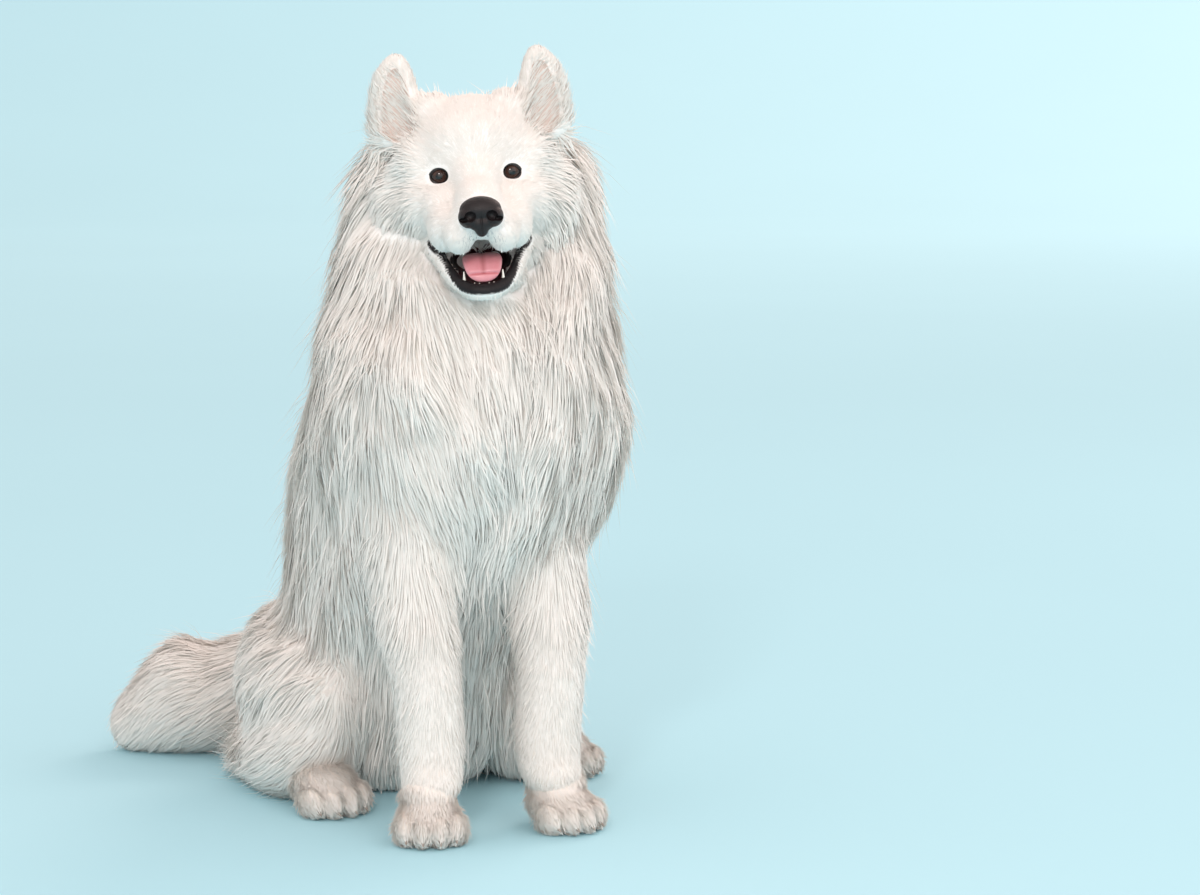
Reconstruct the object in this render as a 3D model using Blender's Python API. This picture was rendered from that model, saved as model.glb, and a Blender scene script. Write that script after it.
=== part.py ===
"""A samoyed sitting with its head turned to its right and its mouth open, life size.

Metres, +Z up. The dog faces -Y and its left is +X. The origin is on the floor under its rump.

Each node starts as a plain form, one closed skin round a row of ellipsoids. A node with a long
coat is made slimmer by part of the coat's depth, and locks grow from it out to the true outline.
"""
import math
import random

import bmesh
import bpy
from mathutils import Matrix, Vector
from mathutils.bvhtree import BVHTree

# Driving dimensions
GAP = 0.0003
WELD = 0.000004
CORE_SHARE = 0.5
FLOOR_BOX = 1.5
SIDES = {"left": 1, "right": -1}

# The trunk's outline over the coat, from the rump up to the nape. Each station is a place on its
# axis, x y z, then half its width, depth and height, then the depth of the coat there.
TRUNK = {
    "rump": ((0.000, 0.000, 0.100), (0.146, 0.122, 0.112), 0.040),
    "loin": ((0.000, -0.058, 0.215), (0.142, 0.132, 0.110), 0.045),
    "ribs": ((0.013, -0.118, 0.320), (0.160, 0.142, 0.105), 0.050),
    "brisket": ((0.023, -0.170, 0.395), (0.166, 0.150, 0.095), 0.058),
    "withers": ((0.023, -0.184, 0.455), (0.158, 0.136, 0.080), 0.064),
}
NECK = {
    "withers": ((0.024, -0.182, 0.470), (0.157, 0.134, 0.060), 0.064),
    "throat": ((0.024, -0.168, 0.545), (0.142, 0.110, 0.060), 0.060),
    "nape": ((0.028, -0.160, 0.606), (0.130, 0.086, 0.056), 0.052),
    "crest": ((0.030, -0.166, 0.636), (0.108, 0.066, 0.070), 0.040),
}

# The limbs' outlines, as the trunk's, for the left side, and the right one where it differs.
FORELEG = {
    "left": {
        "shoulder": ((0.078, -0.205, 0.300), (0.050, 0.060, 0.050), 0.0),
        "elbow": ((0.080, -0.222, 0.225), (0.043, 0.048, 0.040), 0.0),
        "forearm": ((0.074, -0.242, 0.150), (0.036, 0.038, 0.030), 0.0),
        "wrist": ((0.071, -0.250, 0.080), (0.034, 0.034, 0.026), 0.0),
        "pastern": ((0.073, -0.258, 0.052), (0.032, 0.034, 0.022), 0.0),
    },
    "right": {
        "shoulder": ((-0.064, -0.205, 0.300), (0.050, 0.060, 0.050), 0.0),
        "elbow": ((-0.058, -0.222, 0.225), (0.043, 0.048, 0.040), 0.0),
        "forearm": ((-0.053, -0.242, 0.150), (0.036, 0.038, 0.030), 0.0),
        "wrist": ((-0.053, -0.250, 0.080), (0.034, 0.034, 0.026), 0.0),
        "pastern": ((-0.056, -0.258, 0.052), (0.032, 0.034, 0.022), 0.0),
    },
}
HINDLEG = {
    "left": {
        "hip": ((0.092, 0.020, 0.118), (0.072, 0.094, 0.084), 0.032),
        "thigh": ((0.108, -0.035, 0.110), (0.064, 0.078, 0.080), 0.030),
        "knee": ((0.114, -0.078, 0.108), (0.050, 0.052, 0.056), 0.020),
        "shank": ((0.122, -0.040, 0.052), (0.050, 0.075, 0.050), 0.022),
        "hock": ((0.112, 0.062, 0.034), (0.050, 0.052, 0.044), 0.024),
    },
    "right": {
        "hip": ((-0.092, 0.020, 0.118), (0.072, 0.094, 0.084), 0.032),
        "thigh": ((-0.106, -0.035, 0.110), (0.066, 0.078, 0.080), 0.030),
        "knee": ((-0.104, -0.082, 0.108), (0.050, 0.052, 0.056), 0.020),
        "shank": ((-0.118, -0.035, 0.052), (0.056, 0.078, 0.050), 0.022),
        "hock": ((-0.120, 0.062, 0.034), (0.062, 0.058, 0.044), 0.024),
    },
}
TAIL = {
    "root": ((0.000, 0.098, 0.090), (0.050, 0.050, 0.050), 0.028),
    "bend": ((-0.055, 0.162, 0.082), (0.060, 0.060, 0.060), 0.038),
    "middle": ((-0.120, 0.198, 0.074), (0.066, 0.066, 0.066), 0.046),
    "brush": ((-0.176, 0.216, 0.066), (0.062, 0.062, 0.064), 0.042),
    "tip": ((-0.210, 0.232, 0.044), (0.038, 0.038, 0.042), 0.022),
}
TAIL_CUTS = (0.34, 0.66)
TAIL_BLOCK = 0.4

# The paws: where each one's middle stands, which way its toes point from straight ahead in
# degrees, to the dog's left if positive, and its size beside a fore paw's.
PAWS = {
    "forepaw_left": ((0.080, -0.268), 14.0, 1.00),
    "forepaw_right": ((-0.062, -0.272), -16.0, 1.00),
    "hindpaw_left": ((0.166, -0.040), 12.0, 0.98),
    "hindpaw_right": ((-0.102, -0.124), -24.0, 1.04),
}
PAW_PAD = ((0.0, 0.004, 0.026), (0.0325, 0.040, 0.025))
TOE_PLACES = (-0.0255, -0.0090, 0.0090, 0.0255)
TOE_REACH = (0.030, 0.040, 0.040, 0.030)
TOE_BASE = 0.012
TOE_RISE = 0.016
TOE_HALF = (0.0116, 0.022, 0.0185)
CLAW_LENGTH = 0.0125
CLAW_TILT = 112.0
CLAW_RISE = 0.0085
CLAW_RADIUS = 0.0027

# The head: the middle of the line between the eyes, and how the head turns and tilts.
EYE_LINE = Vector((-0.0125, -0.2750, 0.6330))
HEAD_TURN = -18.0
HEAD_TILT = 3.5
EYE_SPACING = 0.0660
EYE_DEPTH = 0.0070
EYEBALL = 0.0112

# Places and half sizes on the head, from the eye line's middle: x to its left, y back, z up. A
# form with x above 0 has a twin on the other side.
HEAD = {
    "cranium": ((0.000, 0.050, 0.014), (0.070, 0.070, 0.062)),
    "forehead": ((0.000, 0.018, 0.026), (0.050, 0.040, 0.040)),
    "brow": ((0.025, 0.008, 0.018), (0.023, 0.022, 0.016)),
    "temple": ((0.048, 0.034, 0.010), (0.028, 0.036, 0.034)),
    "stop": ((0.000, -0.006, -0.004), (0.027, 0.034, 0.026)),
    "bridge": ((0.000, -0.040, -0.022), (0.025, 0.042, 0.024)),
    "muzzle": ((0.000, -0.060, -0.036), (0.028, 0.026, 0.025)),
    "lip": ((0.0205, -0.053, -0.0505), (0.0185, 0.026, 0.0235)),
    "lip_side": ((0.0300, -0.030, -0.0490), (0.0200, 0.032, 0.0260)),
    "cheek": ((0.040, 0.026, -0.026), (0.036, 0.042, 0.036)),
    "jowl": ((0.054, 0.056, -0.024), (0.043, 0.040, 0.052)),
    "gullet": ((0.024, 0.036, -0.068), (0.038, 0.040, 0.036)),
    "crown": ((0.034, 0.050, 0.052), (0.028, 0.030, 0.027)),
}
JAW_RIM = {
    "corner": ((0.0430, 0.004, -0.0665), (0.0090, 0.0115, 0.0105)),
    "cheek": ((0.0355, -0.018, -0.0825), (0.0080, 0.0092, 0.0090)),
    "side": ((0.0245, -0.040, -0.0975), (0.0078, 0.0085, 0.0085)),
    "turn": ((0.0120, -0.053, -0.1045), (0.0078, 0.0082, 0.0085)),
    "chin": ((0.0000, -0.0565, -0.1058), (0.0078, 0.0082, 0.0085)),
}
JAW_FLOOR = {
    "floor": ((0.000, -0.026, -0.1085), (0.024, 0.034, 0.0095)),
    "chin": ((0.000, -0.046, -0.1085), (0.018, 0.016, 0.0085)),
    "root": ((0.018, 0.012, -0.0970), (0.026, 0.030, 0.0180)),
}
MOUTH = {
    "palate": ((0.000, -0.028, -0.0800), (0.0225, 0.042, 0.0165)),
    "gape": ((0.0150, -0.024, -0.0760), (0.0165, 0.029, 0.0100)),
}
TROUGH = {
    "bed": ((0.000, -0.020, -0.0900), (0.0210, 0.034, 0.0140)),
    "back": ((0.012, -0.002, -0.0790), (0.0160, 0.020, 0.0130)),
}
TONGUE = {
    "root": ((0.000, 0.006, -0.0835), (0.0155, 0.018, 0.0075)),
    "blade": ((0.000, -0.022, -0.0815), (0.0180, 0.022, 0.0065)),
    "bend": ((0.000, -0.042, -0.0850), (0.0165, 0.010, 0.0060)),
    "end": ((0.000, -0.0485, -0.0915), (0.0115, 0.0050, 0.0050)),
}
NOSE = {
    "pad": ((0.000, -0.078, -0.030), (0.0195, 0.014, 0.0125)),
    "wing": ((0.0110, -0.080, -0.036), (0.0100, 0.012, 0.0105)),
    "groove": ((0.000, -0.0795, -0.0455), (0.0105, 0.0095, 0.0110)),
}
NOSTRIL = {
    "hole": ((0.0100, -0.0925, -0.0355), (0.0050, 0.0085, 0.0048)),
    "slit": ((0.0165, -0.0890, -0.0385), (0.0050, 0.0065, 0.0020)),
}
EAR = {
    "base": ((0.065, 0.054, 0.040), (0.032, 0.018, 0.018)),
    "fold": ((0.070, 0.052, 0.062), (0.027, 0.015, 0.016)),
    "leaf": ((0.070, 0.050, 0.082), (0.023, 0.013, 0.014)),
    "point": ((0.069, 0.049, 0.098), (0.018, 0.010, 0.012)),
    "tip": ((0.067, 0.049, 0.108), (0.011, 0.007, 0.008)),
}
EAR_CUP = {
    "base": ((0.067, 0.034, 0.044), (0.020, 0.013, 0.013)),
    "fold": ((0.069, 0.034, 0.062), (0.018, 0.012, 0.013)),
    "leaf": ((0.069, 0.035, 0.080), (0.014, 0.009, 0.012)),
    "point": ((0.068, 0.038, 0.095), (0.008, 0.006, 0.008)),
}
LID_HALF_WIDTH = 0.0098
LID_HALF_HEIGHT = 0.0076
LID_THICK = 0.0022
SOCKET = (0.0105, 0.0110, 0.0082)
SOCKET_OUT = 0.010
SOCKET_TURN = 0.9
# The teeth: how far out and back, the height at the gum, the radius and the length
TOOTH = {
    "canine": (0.0178, -0.0478, -0.1010, 0.0024, 0.0130),
    "side": (0.0262, -0.0350, -0.0955, 0.0020, 0.0115),
}

# The voxel that each plain form is wrapped with, how often it is smoothed, and its triangles
WRAPS = {
    "head": (0.003, 8, 950), "lower_jaw": (0.002, 5, 280), "tongue": (0.0015, 6, 140),
    "nose": (0.0012, 5, 180), "ear": (0.0025, 6, 170), "paw": (0.0022, 4, 210),
    "foreleg": (0.004, 8, 200), "hindleg": (0.005, 8, 220), "tail": (0.005, 6, 280),
    "neck": (0.006, 10, 280), "torso": (0.006, 10, 420),
    "mouth": (0.002, 4, 170), "trough": (0.002, 3, 110), "nostril": (0.0008, 2, 90),
    "ear_cup": (0.002, 4, 100),
}

COLOURS = {
    "coat": ((0.86, 0.83, 0.79), 0.85),
    "nose": ((0.035, 0.030, 0.032), 0.35),
    "eye": ((0.030, 0.016, 0.010), 0.08),
    "tongue": ((0.72, 0.28, 0.29), 0.35),
}

# The locks of each node's coat: how long, wide and thick one is, and how high its tip stands over
# the core, as a share of the coat that the core leaves out.
LOCKS = {
    "neck": (0.128, 0.086, 0.012, 1.15),
    "torso": (0.150, 0.094, 0.013, 1.15),
    "hindleg": (0.096, 0.052, 0.010, 1.20),
    "tail": (0.088, 0.052, 0.011, 1.20),
    "head": (0.066, 0.042, 0.009, 1.00),
}
LENGTH_VARIES = 0.12
LIFT_VARIES = 0.10
SWERVE = 0.12
SNUG = 0.94
# Along a lock from root to tip: its width, its thickness and its rise over the core
LOCK_RINGS = (0.0, 0.24, 0.52, 0.80, 1.0)
LOCK_WIDTHS = (0.74, 1.00, 0.92, 0.54, 0.0)
LOCK_DEPTHS = (0.60, 0.90, 1.00, 0.70, 0.0)
LOCK_RISES = (-0.60, 0.10, 0.58, 0.92, 1.05)
EDGE_RISE = 0.80
CLINGS_TO = 0.6
FALL = 0.5
TIP_SWELL = 6.0
RAY = 0.6
NECK_ROWS = (0.512, 0.672)
NECK_GRID = (3, 10)
FACE_BACK = 0.075
FACE_HALF_WIDTH = 0.080
FACE_LOW = -0.112
TORSO_ROWS = (0.120, 0.475)
TORSO_GRID = (5, 9)
BELLY = 0.250
FLANK = -0.100
HAUNCH_MIDDLE = (0.095, 0.095)
HAUNCH_ROWS = (-0.068, 0.034)
HAUNCH_GRID = (3, 3)
HAUNCH_ARC = (-10.0, 98.0)
HAUNCH_LIE = (0.15, 1.0, -0.75)
TAIL_ROWS = (0.06, 0.80)
TAIL_GRID = (4, 5)
CHEEK_TURNS = (11.0, -21.0, -52.0)
CHEEK_MIDDLE = (0.0, 0.058, -0.006)
CHEEK_COAT = 0.030
CHEEK_LIE = (0.0, 0.50, -0.55)
CHEEK_SPREAD = 0.6
CORES = {}


def lock_object(spec, swell=0.0):
    """One lock: a flat, bent blade of three-sided rings, from a root within the core to its tip.
    swell makes it larger all round, for a neighbour to be cut by."""
    bm = bmesh.new()
    rings = []
    for left, right, ridge in spec[:-1]:
        middle = (left + right + ridge) / 3
        girth = (left - right).length + (right - ridge).length + (ridge - left).length
        inner = (right - left).cross(ridge - left).length / girth
        grow = 1 + swell / inner
        rings.append([bm.verts.new(middle + (corner - middle) * grow) for corner in (left, right, ridge)])
    left, right, ridge = spec[-2]
    end = spec[-1][0]
    tip = bm.verts.new(end + (end - (left + right) / 2).normalized() * swell * TIP_SWELL)
    for here, there in zip(rings, rings[1:]):
        for k in range(3):
            after = (k + 1) % 3
            edge, mid = (k, after) if k != 2 else (after, k)
            bm.faces.new((here[edge], here[mid], there[edge]))
            bm.faces.new((here[mid], there[mid], there[edge]))
    for k in range(3):
        bm.faces.new((rings[-1][k], rings[-1][(k + 1) % 3], tip))
    bm.faces.new(rings[0])
    bmesh.ops.recalc_face_normals(bm, faces=bm.faces)
    return object_of("lock", bm)


class Core:
    """The plain forms that locks lie on, with the coat's depth over them. Where a path up the
    middle is given, the way down the form is found by level rays to that path."""

    def __init__(self, names, stations, path=()):
        bm = bmesh.new()
        for name in names:
            bm.from_mesh(bpy.data.objects[name].data)
        self.tree = BVHTree.FromBMesh(bm)
        bm.free()
        self.stations = [(Vector(place), coat) for place, half, coat in stations]
        self.path = path

    def hit(self, start, aim):
        """Where a ray from outside first meets the form."""
        place, normal, _, _ = self.tree.ray_cast(start + aim * RAY, -aim)
        return place, normal

    def middle(self, height):
        near, half = min(self.path, key=lambda station: abs(station[0].z - height))
        return Vector((near.x, near.y, height)), half

    def over(self, point):
        """The place on the form that a point lies over, and the normal there."""
        if self.path:
            middle, half = self.middle(point.z)
            place, normal = self.hit(middle, (point - middle).normalized())
            if place is not None:
                return place, normal
        place, normal, _, _ = self.tree.find_nearest(point)
        return place, normal

    def coat(self, point):
        """How far the coat's outline stands over the form there."""
        near = sorted(((place - point).length, coat) for place, coat in self.stations)[:2]
        (one, first), (two, second) = near
        return (first * two + second * one) / (one + two) * (1 - CORE_SHARE)


def lock(core, place, normal, lie, size, draw):
    """The rings of a lock that starts at that place on the core and runs the way the coat lies.
    Where the core has no path up its middle, the lock's far part runs on straight."""
    length, width, thick, lift = size
    length *= 1 + draw.uniform(-LENGTH_VARIES, LENGTH_VARIES)
    lift *= core.coat(place) * (1 + draw.uniform(-LIFT_VARIES, LIFT_VARIES))
    swerve = draw.uniform(-SWERVE, SWERVE)
    spec = []
    foot, up, last, run = place, normal, 0.0, None
    for share, wide, deep, rise in zip(LOCK_RINGS, LOCK_WIDTHS, LOCK_DEPTHS, LOCK_RISES):
        clings = bool(core.path) or share <= CLINGS_TO
        along = lie(foot).normalized()
        if clings:
            run = (along - up * along.dot(up)).normalized()
            run = (run + run.cross(up) * swerve).normalized()
        else:
            run = (run + along * FALL).normalized()
            up = (up - run * up.dot(run)).normalized()
        foot = foot + run * (share - last) * length
        if clings:
            foot, up = core.over(foot)
        last = share
        aside = run.cross(up).normalized()
        ring = []
        for way in (-1, 1):
            base, out = foot + aside * way * width / 2 * wide, up
            if clings:
                base, out = core.over(base)
            ring.append(base + out * rise * lift * (EDGE_RISE if rise > 0 else 1))
        ring.append(foot + up * (rise * lift + thick * deep))
        spec.append(ring)
    return spec


def rings_of_locks(core, kind, axis, grid, lie, seed, keep=lambda point: True):
    """Locks in rows round an axis. axis gives the row's middle and the two ways across it."""
    draw = random.Random(seed)
    rows, count = grid
    length, width, thick, lift = LOCKS[kind]
    specs = []
    for row in range(rows):
        middle, one, two = axis(row / (rows - 1))
        hits = []
        for k in range(count):
            turn = math.tau * (k + 0.5 * (row % 2)) / count
            hits.append(core.hit(middle, (one * math.cos(turn) + two * math.sin(turn)).normalized()))
        for k, (place, normal) in enumerate(hits):
            before, after = hits[k - 1][0], hits[(k + 1) % count][0]
            if place is None or not keep(place):
                continue
            near = [(place - other).length for other in (before, after) if other is not None]
            size = (length, min([width, *(SNUG * gap for gap in near)]), thick, lift)
            specs.append(lock(core, place, normal, lie, size, draw))
    return specs


def trunk_core(stations):
    """Neck and torso together, which the locks of both lie on."""
    path = [station for rows in (TRUNK, NECK) for station in between(core_of(rows), 0.01)]
    return Core(("neck", "torso"), stations.values(), path)


def upright(core, rows):
    """An upright stack of rows round the core's path, from the lowest up."""
    def axis(share):
        middle, half = core.middle(rows[0] + (rows[1] - rows[0]) * share)
        return middle, Vector((half.x, 0, 0)), Vector((0, half.y, 0))
    return axis


def down(point):
    return Vector((0, 0, -1))


def neck_locks():
    core = trunk_core(NECK)
    return rings_of_locks(core, "neck", upright(core, NECK_ROWS), NECK_GRID, down, 11, clear_of_face)


def clear_of_face(point):
    """False for a root in front, where the head and the jaw are."""
    on_head = head_place().inverted() @ point
    return not (on_head.y < FACE_BACK and abs(on_head.x) < FACE_HALF_WIDTH and on_head.z > FACE_LOW)


def torso_locks():
    core = trunk_core(TRUNK)
    return rings_of_locks(core, "torso", upright(core, TORSO_ROWS), TORSO_GRID, down, 12, clear_of_limbs)


def clear_of_limbs(point):
    """False for a root low in front, between and over the legs."""
    return point.z > BELLY or point.y > FLANK


def hindleg_locks(side):
    core = Core([f"hindleg_{side}"], HINDLEG[side].values())
    sign = SIDES[side]
    draw = random.Random(13)
    specs = []
    rows, count = HAUNCH_GRID
    low, high = HAUNCH_ARC
    for row in range(rows):
        y = HAUNCH_ROWS[0] + (HAUNCH_ROWS[1] - HAUNCH_ROWS[0]) * row / (rows - 1)
        for k in range(count):
            turn = math.radians(low + (high - low) * (k + 0.5 * (row % 2)) / (count - 0.5))
            aim = Vector((sign * math.cos(turn), 0, math.sin(turn)))
            x, z = HAUNCH_MIDDLE
            place, normal = core.hit(Vector((sign * x, y, z)), aim)
            if place is not None:
                lie = Vector(HAUNCH_LIE) * Vector((sign, 1, 1))
                specs.append(lock(core, place, normal, lambda point: lie, LOCKS["hindleg"], draw))
    return specs


def tail_locks():
    core = Core(["tail"], TAIL.values())
    path = [centre for centre, half in tail_path()]

    def ahead_at(i):
        i = min(i, len(path) - 2)
        return (path[i + 1] - path[i]).normalized()

    def along(point):
        return ahead_at(min(range(len(path)), key=lambda n: (path[n] - point).length))

    def axis(share):
        i = round((TAIL_ROWS[0] + (TAIL_ROWS[1] - TAIL_ROWS[0]) * share) * (len(path) - 1))
        one = ahead_at(i).cross(Vector((0, 0, 1))).normalized()
        return path[i], one, one.cross(ahead_at(i))
    return rings_of_locks(core, "tail", axis, TAIL_GRID, along, 14)


def head_locks():
    """The ruff behind the cheeks."""
    place = head_place()
    core = Core(["head"], [(place @ Vector(CHEEK_MIDDLE), None, CHEEK_COAT)] * 2)
    draw = random.Random(15)
    specs = []
    for sign in (1, -1):
        for turn in CHEEK_TURNS:
            aim = Vector((sign * math.cos(math.radians(turn)), 0, math.sin(math.radians(turn))))
            lie = place.to_3x3() @ (aim * CHEEK_SPREAD + Vector(CHEEK_LIE))
            root, normal = core.hit(place @ Vector(CHEEK_MIDDLE), place.to_3x3() @ aim)
            specs.append(lock(core, root, normal, lambda point: lie, LOCKS["head"], draw))
    return specs


def clear_scene():
    for obj in list(bpy.data.objects):
        bpy.data.objects.remove(obj)


def paint(name):
    found = bpy.data.materials.get(name)
    if found:
        return found
    made = bpy.data.materials.new(name)
    made.use_nodes = True
    shader = made.node_tree.nodes["Principled BSDF"]
    colour, rough = COLOURS[name]
    shader.inputs["Base Color"].default_value = (*colour, 1.0)
    shader.inputs["Roughness"].default_value = rough
    shader.inputs["Metallic"].default_value = 0.0
    return made


def object_of(name, bm, colour="coat"):
    mesh = bpy.data.meshes.new(name)
    bm.to_mesh(mesh)
    bm.free()
    mesh.materials.append(paint(colour))
    obj = bpy.data.objects.new(name, mesh)
    bpy.context.scene.collection.objects.link(obj)
    return obj


def helper(obj):
    obj.hide_render = True
    obj.display_type = "WIRE"
    return obj


def copy_of(obj, name):
    copy = bpy.data.objects.new(name, obj.data.copy())
    bpy.context.scene.collection.objects.link(copy)
    return copy


def drop(*objs):
    for obj in objs:
        bpy.data.objects.remove(obj)


def frozen(obj):
    """The object with its modifiers made into its mesh."""
    graph = bpy.context.evaluated_depsgraph_get()
    mesh = bpy.data.meshes.new_from_object(obj.evaluated_get(graph))
    obj.modifiers.clear()
    obj.data = mesh
    return obj


def combine(obj, others, operation, solver="EXACT"):
    """Joins the others to obj, or cuts them from it, in one Boolean. The manifold solver is for
    skins that nearly touch, where the exact one leaves scraps."""
    if not others:
        return obj
    group = bpy.data.collections.new(obj.name + "_tools")
    bpy.context.scene.collection.children.link(group)
    for other in others:
        for home in list(other.users_collection):
            home.objects.unlink(other)
        group.objects.link(helper(other))
    cut = obj.modifiers.new("combine", "BOOLEAN")
    cut.operation = operation
    cut.operand_type = "COLLECTION"
    cut.collection = group
    cut.solver = solver
    frozen(obj)
    drop(*others)
    bpy.data.collections.remove(group)
    return obj


def volume_within(faces):
    total = 0.0
    for face in faces:
        first, *rest = [loop.vert.co for loop in face.loops]
        for one, two in zip(rest, rest[1:]):
            total += first.dot(one.cross(two)) / 6
    return total


def keep_largest(obj):
    """Drops every closed surface of the mesh but the largest, and its edges of no length."""
    bm = bmesh.new()
    bm.from_mesh(obj.data)
    bmesh.ops.remove_doubles(bm, verts=bm.verts, dist=WELD)
    left, groups = set(bm.faces), []
    while left:
        edge = [left.pop()]
        group = set(edge)
        while edge:
            for loop in edge.pop().loops:
                for other in loop.edge.link_faces:
                    if other not in group:
                        group.add(other)
                        edge.append(other)
        left -= group
        groups.append(group)
    keep = max(groups, key=volume_within)
    bmesh.ops.delete(bm, geom=[f for g in groups if g is not keep for f in g], context="FACES")
    bm.to_mesh(obj.data)
    bm.free()
    return obj


def ellipsoid(bm, centre, half, detail=3):
    place = Matrix.Translation(centre) @ Matrix.Diagonal((*half, 1.0))
    bmesh.ops.create_icosphere(bm, subdivisions=detail, radius=1.0, matrix=place)


def curve_at(a, b, c, d, t):
    return 0.5 * (2 * b + (c - a) * t + (2 * a - 5 * b + 4 * c - d) * t * t
                  + (3 * b - a - 3 * c + d) * t * t * t)


def between(stations, step):
    """Places and half sizes along a smooth curve through the stations, about one step apart."""
    rows = [(Vector(place), Vector(half)) for place, half in stations]
    rows = [rows[0], *rows, rows[-1]]
    for i in range(1, len(rows) - 2):
        (p0, s0), (p1, s1), (p2, s2), (p3, s3) = rows[i - 1:i + 3]
        count = max(1, round((p2 - p1).length / step))
        for k in range(count):
            t = k / count
            yield curve_at(p0, p1, p2, p3, t), curve_at(s0, s1, s2, s3, t)
    yield rows[-1]


def core_of(stations):
    """The stations' places and half sizes without the coat's outer share. A station that reaches
    the floor sinks by as much as it shrinks, so that it still rests there."""
    rows = []
    for (x, y, z), half, coat in stations.values():
        less = coat * (1 - CORE_SHARE)
        if z - half[2] < less:
            z -= less
        rows.append(((x, y, z), tuple(h - less for h in half)))
    return rows


def fused(name, bm, wrap, colour="coat"):
    """One closed skin round all the ellipsoids in bm, smoothed and cut to about so many triangles."""
    voxel, smooth, triangles = wrap
    obj = object_of(name, bm, colour)
    skin = obj.modifiers.new("skin", "REMESH")
    skin.mode = "VOXEL"
    skin.voxel_size = voxel
    soft = obj.modifiers.new("soft", "SMOOTH")
    soft.factor = 0.5
    soft.iterations = smooth
    frozen(obj)
    have = sum(len(p.vertices) - 2 for p in obj.data.polygons)
    thin = obj.modifiers.new("thin", "DECIMATE")
    thin.ratio = min(1.0, triangles / have)
    return frozen(obj)


def swept(name, stations, wrap, step=0.012, colour="coat"):
    bm = bmesh.new()
    for centre, half in between(stations, step):
        ellipsoid(bm, centre, half)
    return fused(name, bm, wrap, colour)


def box_cutter(size, place):
    bm = bmesh.new()
    bmesh.ops.create_cube(bm, size=size, matrix=place)
    return object_of("box_cut", bm)


def stood(obj):
    """Cuts off what dips below the floor, so that the piece stands on a flat."""
    below = box_cutter(FLOOR_BOX, Matrix.Translation((0, 0, -FLOOR_BOX / 2)))
    return keep_largest(combine(obj, [below], "DIFFERENCE"))


def kept(obj, locks=()):
    """Notes a plain form and the locks to grow from it, for the node and for its neighbours."""
    CORES[obj.name] = (helper(copy_of(obj, obj.name + "_core")), list(locks))
    return obj


def grown_core(name, gaps=1):
    """The plain form of a node, larger all round by so many gaps."""
    copy = copy_of(CORES[name][0], name + "_grown")
    swell = copy.modifiers.new("swell", "DISPLACE")
    swell.mid_level = 0.0
    swell.strength = GAP * gaps
    return frozen(copy)


def room_of(name):
    """The room that a node takes with its locks, gap and all."""
    room = grown_core(name)
    return combine(room, [lock_object(spec, GAP) for spec in CORES[name][1]], "UNION")


def grown_coat(obj):
    """Joins the node's locks to it."""
    locks = [lock_object(spec) for spec in CORES[obj.name][1]]
    return keep_largest(combine(obj, locks, "UNION"))


def clear_of_cores(obj, *names):
    """Cuts obj clear of the plain forms of larger nodes that it grows from."""
    cores = [grown_core(name, 2) for name in names]
    return keep_largest(combine(obj, cores, "DIFFERENCE", "MANIFOLD"))


def clear_of_rooms(obj, *names):
    """Cuts obj's locks clear of its neighbours, and leaves its own plain form whole."""
    rooms = []
    for name in names:
        room = room_of(name)
        combine(room, [grown_core(obj.name)], "DIFFERENCE", "MANIFOLD")
        rooms.append(room)
    return keep_largest(combine(obj, rooms, "DIFFERENCE", "MANIFOLD"))


def head_place():
    """The matrix that carries the head's own places into the dog's."""
    turn = Matrix.Rotation(math.radians(HEAD_TURN), 4, "Z")
    tilt = Matrix.Rotation(math.radians(-HEAD_TILT), 4, "Y")
    return Matrix.Translation(EYE_LINE) @ turn @ tilt


def set_on_head(obj):
    obj.data.transform(head_place())
    obj.data.update()
    return obj


def twinned(bm, forms):
    for (x, y, z), half in forms.values():
        for side in (1, -1) if x else (1,):
            ellipsoid(bm, (x * side, y, z), half)
    return bm


def form(name, forms, wrap, colour="coat"):
    """A node or a cutter made of the head's forms, twins and all, and set on the head."""
    return set_on_head(fused(name, twinned(bmesh.new(), forms), wrap, colour))


def jaw_form():
    """The lower jaw: its floor, and its rim from one corner of the mouth round to the other."""
    bm = twinned(bmesh.new(), JAW_FLOOR)
    left = list(JAW_RIM.values())
    right = [((-x, y, z), half) for (x, y, z), half in reversed(left[:-1])]
    for centre, half in between(left + right, 0.004):
        ellipsoid(bm, centre, half, detail=2)
    return set_on_head(fused("lower_jaw", bm, WRAPS["lower_jaw"]))


def eye_centre(side):
    return Vector((side * EYE_SPACING / 2, EYE_DEPTH, 0.0))


def make_eye(side, name):
    bm = bmesh.new()
    bmesh.ops.create_uvsphere(bm, u_segments=16, v_segments=10, radius=EYEBALL,
                              matrix=Matrix.Translation(eye_centre(side)))
    kept(set_on_head(object_of(name, bm, "eye")))


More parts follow.
